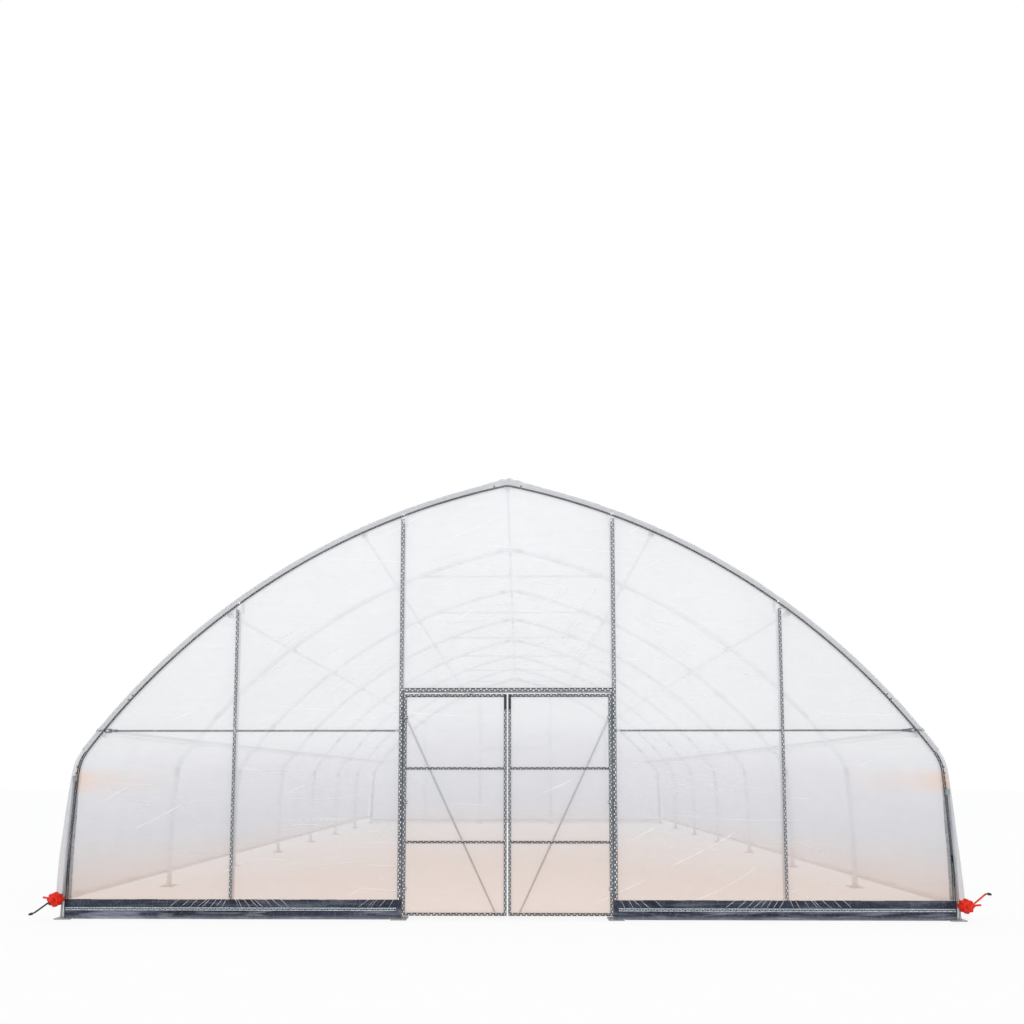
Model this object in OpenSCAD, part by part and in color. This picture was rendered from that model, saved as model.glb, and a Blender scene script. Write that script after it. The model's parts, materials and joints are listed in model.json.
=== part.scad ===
// Walk-in polytunnel greenhouse with curved rafters, roll-up sides and a
// double door in the front end. +Z is up, the front end faces -Y and the
// origin is on the ground under the middle of the tunnel. Millimetres.

/* [Overall] */
// Distance from hoop to hoop
bay_l = 2000; // [1500:50:2600]
// Width between the centres of the legs
tunnel_w = 9200; // [7600:100:11200]

/* [Hoops] */
// Outside diameter of the hoop tube
hoop_d = 60; // [42:1:76]
// Height of the straight bottom of each leg
leg_straight = 300; // [200:10:600]
// Radius of the gentle curve in the leg
leg_r = 11500; // [8000:100:16000]
// Lean of the leg where the shoulder bend starts, in degrees
leg_lean = 6.2; // [4:0.1:8]
// Radius of the shoulder bend
shoulder_r = 400; // [300:10:700]
// Lean of the tube where the rafter starts, in degrees
rafter_start = 36; // [30:1:42]
// Lean of the rafter where the ridge bend starts, in degrees
rafter_end = 78; // [74:0.5:82]
// Radius of the bend that joins the rafters at the ridge
ridge_r = 150; // [100:10:300]

/* [Runners] */
// Outside diameter of purlins, shoulder rails and collar ties
purlin_d = 32; // [25:1:42]
// Distance of the upper purlins from the middle
upper_purlin_x = 1560; // [1300:10:1800]
// Distance of the lower purlins from the middle
lower_purlin_x = 3000; // [2600:10:3300]
// Lean of the rafter where the roof film is clamped, in degrees
curb_lean = 38; // [37:0.5:44]
// Drop of the collar ties below the ridge
tie_drop = 362; // [300:10:450]
// How far a collar tie runs past the rafter it is clamped to
tie_past = 30; // [10:5:35]

/* [Feet] */
// Width of a square foot plate
foot_w = 160; // [130:5:220]
// Thickness of a foot plate
foot_t = 12; // [8:1:20]
// Distance between the two bolt holes of a foot plate
foot_hole_gap = 120; // [100:2:140]
// Diameter of a foot bolt hole
foot_hole_d = 14; // [10:1:18]

/* [End frames] */
// Width of the square door posts
door_post_w = 50; // [40:1:60]
// Clear distance between the door posts
doorway_w = 2190; // [1600:10:2400]
// Height of the underside of the door header
doorway_h = 2360; // [2000:10:2500]
// Height of the door header
header_h = 50; // [40:1:80]
// Distance of the mid posts from the middle
mid_post_x = 2875; // [2500:10:3200]
// Width of the mid posts
mid_post_w = 40; // [30:1:50]
// Depth of the mid posts
mid_post_depth = 30; // [20:1:34]
// Height of the girts
girt_z = 1955; // [1600:5:2000]
// Diameter of a girt
girt_d = 19; // [14:1:20]
// Length of the flattened end of a girt
girt_flat_l = 130; // [90:5:180]
// Height of the flattened end of a girt
girt_flat_h = 50; // [35:1:70]
// Thickness of the flattened end of a girt
girt_flat_t = 4; // [3:0.5:5]
// Height of the middle of the base rail
base_rail_z = 95; // [80:1:120]
// Height and depth of the base rail
base_rail_w = 40; // [30:1:50]
// Width of a film clamping channel
channel_w = 34; // [26:1:40]
// Thickness of a film clamping channel
channel_t = 10; // [6:1:14]
// Height of the dark skirt
skirt_h = 200; // [150:5:260]

/* [Film] */
// Thickness of the film as built here
film_t = 4; // [3:0.5:6]

/* [Door leaves] */
// Gap between a leaf and its door post
leaf_side_gap = 5; // [5:0.5:12]
// Gap between the two leaves
leaf_mid_gap = 16; // [12:1:30]
// Height of the bottom of the leaves above the ground
leaf_bottom = 40; // [20:5:80]
// Gap between the leaves and the header
leaf_top_gap = 20; // [10:5:70]
// Width and depth of the leaf tubes
leaf_tube = 30; // [25:1:40]
// Height of the lower cross bar
low_bar_z = 793; // [600:5:1000]
// Height of the upper cross bar
high_bar_z = 1558; // [1300:5:1700]
// Height of a cross bar
bar_h = 20; // [15:1:30]
// Height at which the diagonal brace leaves the hinge stile
brace_top_z = 2054; // [1800:5:2150]
// Distance of the foot of the diagonal brace from the lock stile
brace_foot = 100; // [40:5:200]
// Width of the diagonal brace
brace_w = 18; // [12:1:24]

/* [Hinges] */
// Outside diameter of a hinge knuckle
knuckle_d = 16; // [14:1:22]
// Diameter of a hinge pin
pin_d = 8; // [6:0.5:10]
// Clearance round a hinge pin
pin_gap = 0.3; // [0.2:0.05:0.6]
// Height of one knuckle
knuckle_h = 30; // [20:1:45]
// Height of the lowest hinge
hinge_low_z = 300; // [200:10:500]
// Thickness of a hinge plate
hinge_t = 4; // [3:0.5:6]
// Length of a hinge plate
hinge_l = 46; // [30:1:60]

/* [Roll-up sides] */
// Outside diameter of the roll pipe
roll_d = 42; // [32:1:50]
// Height of the left roll pipe
left_roll_z = 210; // [190:5:1200]
// Height of the right roll pipe
right_roll_z = 160; // [150:5:1200]
// Diameter of the winch guide rods
rod_d = 20; // [16:1:24]
// Height of the top of the left guide rod
left_rod_top = 1480; // [1200:10:1600]
// Height of the top of the right guide rod
right_rod_top = 1345; // [1200:10:1600]
// Lean of the guide rods, in degrees
rod_lean = 3.1; // [1:0.1:4]
// Width of the winch body across its flats
winch_w = 156; // [130:2:180]
// Depth of the winch body
winch_t = 58; // [45:1:70]
// Length of the crank arm between its axis and the grip
crank_l = 220; // [150:5:240]
// Angle of the left crank at rest, below the horizontal, in degrees
left_crank_a = 36; // [0:1:45]
// Angle of the right crank at rest, above the horizontal, in degrees
right_crank_a = 39; // [0:1:90]
// Diameter of the crank arm
crank_d = 14; // [10:1:18]
// Diameter of the crank grip
grip_d = 28; // [22:1:34]
// Length of the crank grip
grip_l = 100; // [80:5:130]

/* [Hidden] */
$fn = 48;

// Number of bays from the front hoop to the rear hoop
bays = 7;
// Gap left between round or clamped pieces that seat on each other
seat = 0.3;
hoop_r = hoop_d / 2;
half_w = tunnel_w / 2;
half_l = bays * bay_l / 2;
purlin_r = purlin_d / 2;

// Centre line of a hoop: a straight leg, then four arcs. Each arc is held as the
// X and Z of its centre and its radius, and runs between two leans in degrees.
leg_arc = [half_w - leg_r, leg_straight, leg_r];
shoulder_arc = next_arc(leg_arc, leg_lean, shoulder_r);
rafter_foot = arc_point(shoulder_arc, rafter_start, 0);
rafter_r = (rafter_foot[0] - ridge_r * cos(rafter_end)) / (cos(rafter_start) - cos(rafter_end));
rafter_arc = next_arc(shoulder_arc, rafter_start, rafter_r);
ridge_arc = next_arc(rafter_arc, rafter_end, ridge_r);
ridge_z = arc_point(ridge_arc, 90, 0)[1];

// The point of an arc at a lean, moved out from the arc's centre
function arc_point(arc, lean, out) =
    [arc[0] + (arc[2] + out) * cos(lean), arc[1] + (arc[2] + out) * sin(lean)];
// The arc of radius r that carries on smoothly from another arc at a lean
function next_arc(arc, lean, r) =
    [arc[0] + (arc[2] - r) * cos(lean), arc[1] + (arc[2] - r) * sin(lean), r];
// Lean of the rafter at a distance from the middle or at a height
function lean_at_x(x) = acos((x - rafter_arc[0]) / rafter_r);
function lean_at_z(z) = asin((z - rafter_arc[1]) / rafter_r);
function hoop_z(x) = arc_point(rafter_arc, lean_at_x(x), 0)[1];
// Half of the gap left at each end of an arc piece, as an angle
function trim(arc) = seat / 2 / arc[2] * 180 / PI;

// Outline of a hoop from the right foot over the ridge to the left foot
arc_steps = 24;
arc_fn = 720;
function arc_run(arc, from, to, out) =
    [for (k = [0 : arc_steps]) arc_point(arc, from + (to - from) * k / arc_steps, out)];
function half_outline(out) = concat(
    [[half_w + out, 0]],
    arc_run(leg_arc, 0, leg_lean, out),
    arc_run(shoulder_arc, leg_lean, rafter_start, out),
    arc_run(rafter_arc, rafter_start, rafter_end, out),
    arc_run(ridge_arc, rafter_end, 90, out));
function outline(out) = let (right = half_outline(out))
    concat(right, [for (k = [len(right) - 2 : -1 : 0]) [-right[k][0], right[k][1]]]);

// Depths at the front end, measured forward of the middle of the front hoop
channel_back = door_post_w / 2;
film_back = max(channel_back + channel_t, hoop_r + seat + girt_flat_t + seat) + seat;
film_front = film_back + film_t;
strip_front = film_front + seat + channel_t;

// Door
door_post_x = doorway_w / 2 + door_post_w / 2;
leaf_outer = doorway_w / 2 - leaf_side_gap;
leaf_inner = leaf_mid_gap / 2;
leaf_top = doorway_h - leaf_top_gap;
leaf_front = film_back - seat;
hinge_x = doorway_w / 2 - leaf_side_gap / 2;
hinge_plate_back = film_front + seat;
hinge_y = hinge_plate_back + knuckle_d / 2;
hinge_count = 3;
hinge_pitch = (leaf_top - leaf_bottom - 2 * (hinge_low_z - leaf_bottom)) / (hinge_count - 1);

// Roll-up sides
curtain_in = hoop_r + seat;
curtain_out = curtain_in + film_t;
roll_x = half_w + curtain_out + seat + roll_d / 2;
rod_y = film_front + 24;
rod_foot_x = half_w + 16;
winch_back = rod_y + rod_d / 2 + 6;
winch_front = winch_back + winch_t;
hub_back = winch_front + 5;
hub_d = 44;
hub_l = 24;
shaft_d = 20;
crank_y = hub_back + hub_l / 2;
collar_w = rod_d + 14;
collar_h = 40;
rod_plate_w = 40;
rod_plate_h = 60;

// ---------- shapes used by several pieces ----------

// Solid of revolution about the centre of an arc, between two leans
module along_arc(arc, from, to)
    translate([arc[0], 0, arc[1]])
        rotate([90, 0, 0])
            rotate([0, 0, from])
                rotate_extrude(angle = to - from, $fn = arc_fn)
                    translate([arc[2], 0])
                        children();

// Sheet that follows an arc of the hoop and fills the depth from y0 to y1
module arc_sheet(arc, from, to, y0, y1)
    along_arc(arc, from, to)
        translate([curtain_in, -y1])
            square([film_t, y1 - y0]);

module block(x0, x1, y0, y1, z0, z1)
    translate([x0, y0, z0])
        cube([x1 - x0, y1 - y0, z1 - z0]);

module both_sides() {
    children();
    mirror([1, 0, 0])
        children();
}

// Flat shape drawn in X and Z that fills the depth from y0 to y1
module upright(y0, y1)
    translate([0, y1, 0])
        rotate([90, 0, 0])
            linear_extrude(height = y1 - y0)
                children();

// Right leg, shoulder bend and rafter, each a tube of its own
module half_hoop() {
    translate([half_w, 0, foot_t])
        cylinder(d = hoop_d, h = leg_straight - foot_t);
    along_arc(leg_arc, 0, leg_lean - trim(leg_arc))
        circle(d = hoop_d);
    along_arc(shoulder_arc, leg_lean + trim(shoulder_arc), rafter_start - trim(shoulder_arc))
        circle(d = hoop_d);
    along_arc(rafter_arc, rafter_start + trim(rafter_arc), rafter_end - trim(rafter_arc))
        circle(d = hoop_d);
}

module hoop(y)
    color("lightgray")
        translate([0, y, 0]) {
            both_sides()
                half_hoop();
            along_arc(ridge_arc, rafter_end + trim(ridge_arc), 180 - rafter_end - trim(ridge_arc))
                circle(d = hoop_d);
        }

// Square post whose sloping top follows the underside of the rafter
module post(x, w, depth, z0) {
    lean = lean_at_x(x);
    drop = (hoop_r + seat) / sin(lean);
    rise = w / 2 / tan(lean);
    top = hoop_z(x) - drop;
    upright(-depth / 2, depth / 2)
        polygon([[x - w / 2, z0], [x + w / 2, z0], [x + w / 2, top - rise], [x - w / 2, top + rise]]);
}

// ---------- hoops, feet and runners ----------

module foot(x, y)
    difference() {
        block(x - foot_w / 2, x + foot_w / 2, y - foot_w / 2, y + foot_w / 2, 0, foot_t);
        for (side = [-1, 1])
            translate([x + side * foot_hole_gap / 2, y, -1])
                cylinder(d = foot_hole_d, h = foot_t + 2);
    }

module hoop_feet()
    color("silver")
        for (k = [0 : bays])
            for (side = [-1, 1])
                foot(side * half_w, -half_l + k * bay_l);

module post_feet()
    color("silver")
        for (y = [-half_l, half_l])
            for (side = [-1, 1])
                foot(side * door_post_x, y);

// Straight runner under the rafters, the length of the tunnel
module runner(lean) {
    place = arc_point(rafter_arc, lean, -hoop_r - seat - purlin_r);
    translate([place[0], -half_l, place[1]])
        rotate([-90, 0, 0])
            cylinder(d = purlin_d, h = 2 * half_l);
}

ridge_purlin_z = ridge_z - hoop_r - seat - purlin_r;

module ridge_purlin()
    color("lightgray")
        translate([0, -half_l, ridge_purlin_z])
            rotate([-90, 0, 0])
                cylinder(d = purlin_d, h = 2 * half_l);

module upper_purlins()
    color("lightgray")
        both_sides()
            runner(lean_at_x(upper_purlin_x));

module lower_purlins()
    color("lightgray")
        both_sides()
            runner(lean_at_x(lower_purlin_x));

module shoulder_rails()
    color("lightgray")
        both_sides()
            runner(curb_lean);

// Collar tie clamped behind each inner hoop, with its king post to the ridge
tie_z = ridge_z - tie_drop;
tie_half = arc_point(rafter_arc, lean_at_z(tie_z), 0)[0] + tie_past;
tie_y = hoop_r + seat + purlin_r;
king_d = 25;

module collar_ties()
    color("lightgray")
        for (k = [1 : bays - 1])
            translate([0, -half_l + k * bay_l + tie_y, 0]) {
                translate([-tie_half, 0, tie_z])
                    rotate([0, 90, 0])
                        cylinder(d = purlin_d, h = 2 * tie_half);
                translate([0, 0, tie_z + purlin_r + seat])
                    cylinder(d = king_d, h = ridge_purlin_z - tie_z - purlin_d - 2 * seat);
            }

// ---------- end frames, built for the front and mirrored for the rear ----------

module at_front()
    translate([0, -half_l, 0])
        children();

module at_rear()
    translate([0, half_l, 0])
        mirror([0, 1, 0])
            children();

module door_post_shape()
    post(door_post_x, door_post_w, door_post_w, foot_t);

module header_shape()
    block(-doorway_w / 2 + seat, doorway_w / 2 - seat,
        -door_post_w / 2, door_post_w / 2, doorway_h, doorway_h + header_h);

module mid_post_shape()
    post(mid_post_x, mid_post_w, mid_post_depth, base_rail_z + base_rail_w / 2 + seat);

// Round girt from the door post to a flattened end on the face of the hoop
girt_hoop_x = arc_point(rafter_arc, lean_at_z(girt_z), 0)[0];
girt_y = film_back - seat - girt_d / 2;

module girt_shape() {
    bar_end = girt_hoop_x - hoop_r - girt_flat_l / 2;
    translate([door_post_x + door_post_w / 2 + seat, -girt_y, girt_z])
        rotate([0, 90, 0])
            cylinder(d = girt_d, h = bar_end - door_post_x - door_post_w / 2);
    upright(-hoop_r - seat - girt_flat_t, -hoop_r - seat)
        polygon([[bar_end - girt_flat_l / 2, girt_z - girt_d / 4],
            [bar_end, girt_z - girt_flat_h / 2],
            [girt_hoop_x, girt_z - girt_flat_h / 2],
            [girt_hoop_x, girt_z + girt_flat_h / 2],
            [bar_end, girt_z + girt_flat_h / 2],
            [bar_end - girt_flat_l / 2, girt_z + girt_d / 4]]);
}

module base_rail_shape(inner)
    block(inner, half_w - hoop_r - seat, -base_rail_w / 2, base_rail_w / 2,
        base_rail_z - base_rail_w / 2, base_rail_z + base_rail_w / 2);

rail_inner = door_post_x + door_post_w / 2 + seat;

module post_channel_shape() {
    top = hoop_z(door_post_x) - hoop_r - 25;
    block(door_post_x - channel_w / 2, door_post_x + channel_w / 2,
        -channel_back - channel_t, -channel_back - seat, skirt_h, top);
}

module header_channel_shape()
    block(-doorway_w / 2, doorway_w / 2, -channel_back - channel_t, -channel_back - seat,
        doorway_h + header_h / 2 - channel_w / 2, doorway_h + header_h / 2 + channel_w / 2);

module base_channel_shape(inner)
    block(inner, half_w - foot_w / 2, -strip_front, -film_front - seat,
        base_rail_z - channel_w / 2, base_rail_z + channel_w / 2);

channel_inner = door_post_x + door_post_w / 2;

// Sheet over one end of the tunnel, cut to the part between x0 and x1 above z0
module end_sheet(x0, x1, z0)
    upright(-film_front, -film_back)
        intersection() {
            polygon(outline(hoop_r));
            translate([x0, z0])
                square([x1 - x0, ridge_z + hoop_d]);
        }

// Strip along the ground, notched over the foot plates
module skirt_sheet(x0, x1)
    difference() {
        block(x0, x1, -film_front, -film_back, 0, skirt_h - seat);
        both_sides()
            for (x = [door_post_x, half_w])
                block(x - foot_w / 2 - seat, x + foot_w / 2 + seat, -foot_w, 0, -1, foot_t + seat);
    }

module left_door_post()
    color("lightgray")
        at_front()
            mirror([1, 0, 0])
                door_post_shape();

module right_door_post()
    color("lightgray")
        at_front()
            door_post_shape();

module door_header()
    color("lightgray")
        at_front()
            header_shape();

module mid_posts()
    color("lightgray")
        at_front()
            both_sides()
                mid_post_shape();

module front_girts()
    color("lightgray")
        at_front()
            both_sides()
                girt_shape();

module front_base_rails()
    color("lightgray")
        at_front()
            both_sides()
                base_rail_shape(rail_inner);

module front_channels()
    color("whitesmoke")
        at_front() {
            both_sides() {
                post_channel_shape();
                base_channel_shape(channel_inner);
            }
            header_channel_shape();
        }

module front_skirts()
    color("midnightblue")
        at_front()
            both_sides()
                skirt_sheet(door_post_x - door_post_w / 2, half_w);

module front_right_film()
    color("white", 0.5)
        at_front()
            end_sheet(door_post_x + seat / 2, tunnel_w, skirt_h);

module front_left_film()
    color("white", 0.5)
        at_front()
            mirror([1, 0, 0])
                end_sheet(door_post_x + seat / 2, tunnel_w, skirt_h);

module over_door_film()
    color("white", 0.5)
        at_front()
            end_sheet(-door_post_x + seat / 2, door_post_x - seat / 2, doorway_h);

module rear_posts()
    color("lightgray")
        at_rear()
            both_sides() {
                door_post_shape();
                mid_post_shape();
            }

module rear_rails()
    color("lightgray")
        at_rear() {
            header_shape();
            both_sides() {
                girt_shape();
                base_rail_shape(rail_inner);
            }
            base_rail_between_posts();
        }

module base_rail_between_posts()
    block(-doorway_w / 2 + seat, doorway_w / 2 - seat, -base_rail_w / 2, base_rail_w / 2,
        base_rail_z - base_rail_w / 2, base_rail_z + base_rail_w / 2);

module rear_film()
    color("white", 0.5)
        at_rear()
            end_sheet(-tunnel_w, tunnel_w, skirt_h);

module rear_skirt()
    color("white", 0.5)
        at_rear()
            skirt_sheet(-half_w, half_w);

// ---------- roof film and roll-up sides ----------

module roof_film()
    color("white", 0.5) {
        both_sides()
            arc_sheet(rafter_arc, curb_lean, rafter_end - trim(rafter_arc),
                -half_l - film_front, half_l + film_front);
        arc_sheet(ridge_arc, rafter_end + trim(ridge_arc), 180 - rafter_end - trim(ridge_arc),
            -half_l - film_front, half_l + film_front);
    }

// Right side curtain from the clamped edge of the roof film to the roll pipe
module curtain(bottom_z)
    color("white", 0.5) {
        y1 = half_l + film_back;
        arc_sheet(rafter_arc, rafter_start + trim(rafter_arc), curb_lean - 2 * trim(rafter_arc), -y1, y1);
        arc_sheet(shoulder_arc, leg_lean + trim(shoulder_arc), rafter_start - trim(shoulder_arc), -y1, y1);
        arc_sheet(leg_arc, 0, leg_lean - trim(leg_arc), -y1, y1);
        block(half_w + curtain_in, half_w + curtain_out, -y1, y1, bottom_z, leg_straight);
    }

module right_curtain()
    curtain(right_roll_z);

module left_curtain()
    mirror([1, 0, 0])
        curtain(left_roll_z);

module roll_pipe(z)
    translate([roll_x, -half_l - winch_back, z])
        rotate([-90, 0, 0])
            cylinder(d = roll_d, h = 2 * half_l + winch_back + film_front);

module roll_pipes()
    color("silver") {
        roll_pipe(right_roll_z);
        mirror([1, 0, 0])
            roll_pipe(left_roll_z);
    }

// Leaning rod that stands on the corner foot, with a plate bolted to the hoop
module guide_rod(top)
    color("silver") {
        intersection() {
            translate([rod_foot_x, -half_l - rod_y, 0])
                rotate([0, -rod_lean, 0])
                    translate([0, 0, -rod_d])
                        cylinder(d = rod_d, h = top + rod_d);
            block(0, tunnel_w, -half_l - rod_y - rod_d, -half_l, foot_t, top + rod_d);
        }
        translate([rod_foot_x - (top - rod_plate_h / 2) * tan(rod_lean), -half_l - rod_y,
                top - rod_plate_h / 2])
            block(-rod_plate_w / 2, rod_plate_w / 2, 0, rod_y - film_front - seat,
                -rod_plate_h / 2, rod_plate_h / 2);
    }

module left_guide_rod()
    mirror([1, 0, 0])
        guide_rod(left_rod_top);

module right_guide_rod()
    guide_rod(right_rod_top);

// Winch body on the end of the roll pipe, with a collar that slides on the rod
module winch(z)
    color("firebrick") {
        translate([roll_x, -half_l - winch_back - seat, z])
            rotate([90, 0, 0])
                rotate([0, 0, 22.5])
                    cylinder(d = winch_w / cos(22.5), h = winch_t - seat, $fn = 8);
        difference() {
            translate([rod_foot_x - z * tan(rod_lean), -half_l, z])
                block(-collar_w / 2, collar_w / 2, -winch_back - 1, -rod_y + collar_w / 2,
                    -collar_h / 2, collar_h / 2);
            translate([rod_foot_x, -half_l - rod_y, 0])
                rotate([0, -rod_lean, 0])
                    cylinder(d = rod_d + 2 * seat, h = z + winch_w);
        }
    }

module left_winch()
    mirror([1, 0, 0])
        winch(left_roll_z);

module right_winch()
    winch(right_roll_z);

// Crank with its hub on the winch axis, its arm turned up by the angle rise
module crank(z, rise)
    translate([roll_x, -half_l, z]) {
        rotate([90, 0, 0]) {
            translate([0, 0, winch_front + seat])
                cylinder(d = shaft_d, h = hub_l);
            translate([0, 0, hub_back])
                cylinder(d = hub_d, h = hub_l);
        }
        translate([0, -crank_y, 0])
            rotate([0, 90 - rise, 0])
                cylinder(d = crank_d, h = crank_l);
        translate([crank_l * cos(rise), -crank_y + crank_d / 2, crank_l * sin(rise)])
            rotate([90, 0, 0])
                cylinder(d = grip_d, h = grip_l);
    }

module left_crank()
    color("black")
        mirror([1, 0, 0])
            crank(left_roll_z, -left_crank_a);

module right_crank()
    color("firebrick")
        crank(right_roll_z, right_crank_a);

// ---------- door ----------

// Places the children at the axis of each hinge of the right leaf
module each_hinge()
    for (k = [0 : hinge_count - 1])
        translate([hinge_x, -half_l - hinge_y, hinge_low_z + k * hinge_pitch])
            children();

// Fixed half: lower knuckle with its pin, and a plate on the door post
module fixed_hinge() {
    translate([0, 0, -knuckle_h])
        cylinder(d = knuckle_d, h = knuckle_h - 1);
    translate([0, 0, -knuckle_h])
        cylinder(d = pin_d, h = 2 * knuckle_h + 4);
    block(0, hinge_l, hinge_y - hinge_plate_back - hinge_t, hinge_y - hinge_plate_back,
        -knuckle_h, -1);
}

// Moving half: upper knuckle bored for the pin, and a plate on the leaf
module moving_hinge()
    difference() {
        union() {
            translate([0, 0, 1])
                cylinder(d = knuckle_d, h = knuckle_h - 1);
            block(-hinge_l, 0, hinge_y - hinge_plate_back - hinge_t, hinge_y - hinge_plate_back,
                1, knuckle_h);
        }
        cylinder(d = pin_d + 2 * pin_gap, h = knuckle_h + 1);
    }

module door_hinges()
    color("silver")
        both_sides()
            each_hinge()
                fixed_hinge();

// Tube frame of the right leaf with two cross bars and a diagonal brace
module leaf_frame() {
    depth = leaf_tube;
    inside_x = leaf_inner + leaf_tube;
    outside_x = leaf_outer - leaf_tube;
    inside_z = leaf_bottom + leaf_tube;
    brace_lean = atan((brace_top_z - inside_z) / (outside_x - inside_x - brace_foot));
    brace_across = brace_w / sin(brace_lean);
    brace_up = brace_w / cos(brace_lean);
    translate([0, -half_l, 0]) {
        upright(-leaf_front, -leaf_front + depth)
            difference() {
                translate([leaf_inner, leaf_bottom])
                    square([leaf_outer - leaf_inner, leaf_top - leaf_bottom]);
                translate([inside_x, inside_z])
                    square([outside_x - inside_x, leaf_top - leaf_tube - inside_z]);
            }
        for (z = [low_bar_z, high_bar_z])
            block(inside_x - 1, outside_x + 1, -leaf_front, -leaf_front + depth / 2,
                z - bar_h / 2, z + bar_h / 2);
        upright(-leaf_front + depth / 2, -leaf_front + depth - 1)
            polygon([[inside_x + brace_foot, inside_z - 1],
                [inside_x + brace_foot - brace_across, inside_z - 1],
                [outside_x + 1, brace_top_z + brace_up], [outside_x + 1, brace_top_z]]);
    }
    each_hinge()
        moving_hinge();
}

module leaf_film()
    translate([0, -half_l, 0])
        block(leaf_inner, leaf_outer, -film_front, -film_back, leaf_bottom, leaf_top);

module right_leaf_frame()
    color("lightgray")
        leaf_frame();

module left_leaf_frame()
    color("lightgray")
        mirror([1, 0, 0])
            leaf_frame();

module right_leaf_film()
    color("white", 0.5)
        leaf_film();

module left_leaf_film()
    color("white", 0.5)
        mirror([1, 0, 0])
            leaf_film();

// ---------- the whole tunnel ----------

module inner_hoop(k)
    hoop(-half_l + k * bay_l);

hoop(-half_l);  // front_hoop
inner_hoop(1);  // inner_hoop_1
inner_hoop(2);  // inner_hoop_2
inner_hoop(3);  // inner_hoop_3
inner_hoop(4);  // inner_hoop_4
inner_hoop(5);  // inner_hoop_5
inner_hoop(6);  // inner_hoop_6
hoop(half_l);  // rear_hoop
hoop_feet();
post_feet();
ridge_purlin();
upper_purlins();
lower_purlins();
shoulder_rails();
collar_ties();
left_door_post();
right_door_post();
door_header();
mid_posts();
front_girts();
front_base_rails();
front_channels();
front_skirts();
front_left_film();
front_right_film();
over_door_film();
rear_posts();
rear_rails();
rear_film();
rear_skirt();
roof_film();
left_curtain();
right_curtain();
roll_pipes();
left_guide_rod();
right_guide_rod();
left_winch();
right_winch();
left_crank();
right_crank();
door_hinges();
left_leaf_frame();
left_leaf_film();
right_leaf_frame();
right_leaf_film();
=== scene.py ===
"""Finish and fine detail of a walk-in polytunnel greenhouse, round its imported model.

The hoops, runners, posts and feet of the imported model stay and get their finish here.
Film, skirts, clamping channels, winches and cranks are modelled in full and stand for
the plain solids. Everything is in metres, +Z up, with the door in the -Y end.
"""

import json
import math
import random

import bmesh
import bpy
from mathutils import Matrix, Vector, noise


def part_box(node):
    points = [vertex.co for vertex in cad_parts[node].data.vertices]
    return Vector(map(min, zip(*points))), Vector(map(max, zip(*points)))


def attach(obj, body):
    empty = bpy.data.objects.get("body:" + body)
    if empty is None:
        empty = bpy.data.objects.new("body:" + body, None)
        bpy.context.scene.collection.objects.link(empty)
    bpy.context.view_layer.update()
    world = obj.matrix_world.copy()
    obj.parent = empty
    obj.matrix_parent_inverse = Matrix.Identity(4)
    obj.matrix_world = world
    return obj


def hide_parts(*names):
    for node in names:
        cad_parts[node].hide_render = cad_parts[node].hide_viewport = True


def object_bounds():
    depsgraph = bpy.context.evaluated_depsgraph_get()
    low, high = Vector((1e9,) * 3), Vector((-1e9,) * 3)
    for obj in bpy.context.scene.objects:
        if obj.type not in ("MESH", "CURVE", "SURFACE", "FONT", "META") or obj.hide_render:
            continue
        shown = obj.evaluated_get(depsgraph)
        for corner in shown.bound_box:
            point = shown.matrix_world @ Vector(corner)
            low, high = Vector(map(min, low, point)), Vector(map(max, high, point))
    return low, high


bl_info = {
    "name": "Polytunnel Greenhouse",
    "version": (1, 0, 0),
    "blender": (4, 5, 0),
    "location": "View3D > Sidebar > Polytunnel",
    "description": "Builds the film, channels, fittings and finish of a polytunnel greenhouse",
    "category": "Add Mesh",
}

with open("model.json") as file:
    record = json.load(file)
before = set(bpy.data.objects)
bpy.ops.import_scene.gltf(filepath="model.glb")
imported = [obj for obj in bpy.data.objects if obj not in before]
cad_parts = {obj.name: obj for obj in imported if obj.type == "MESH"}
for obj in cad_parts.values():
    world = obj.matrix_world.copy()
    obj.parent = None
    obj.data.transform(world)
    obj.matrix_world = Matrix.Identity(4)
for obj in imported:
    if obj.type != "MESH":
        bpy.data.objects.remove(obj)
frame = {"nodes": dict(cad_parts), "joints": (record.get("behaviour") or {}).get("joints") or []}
CAD_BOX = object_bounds()
TUNNEL = "tunnel"
SIDES = {-1: "left", 1: "right"}

# ---------------------------------------------------------------------------
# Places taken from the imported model
# ---------------------------------------------------------------------------


def middle(node):
    low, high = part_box(node)
    return (low + high) / 2


HOOP_LOW, HOOP_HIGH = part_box("front_hoop")
HOOP_R = (HOOP_HIGH.y - HOOP_LOW.y) / 2
HALF_W = HOOP_HIGH.x - HOOP_R
HOOP_NODES = ["front_hoop"] + [f"inner_hoop_{k}" for k in range(1, 7)] + ["rear_hoop"]
HOOP_YS = [middle(name).y for name in HOOP_NODES]
BAY = HOOP_YS[1] - HOOP_YS[0]
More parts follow.
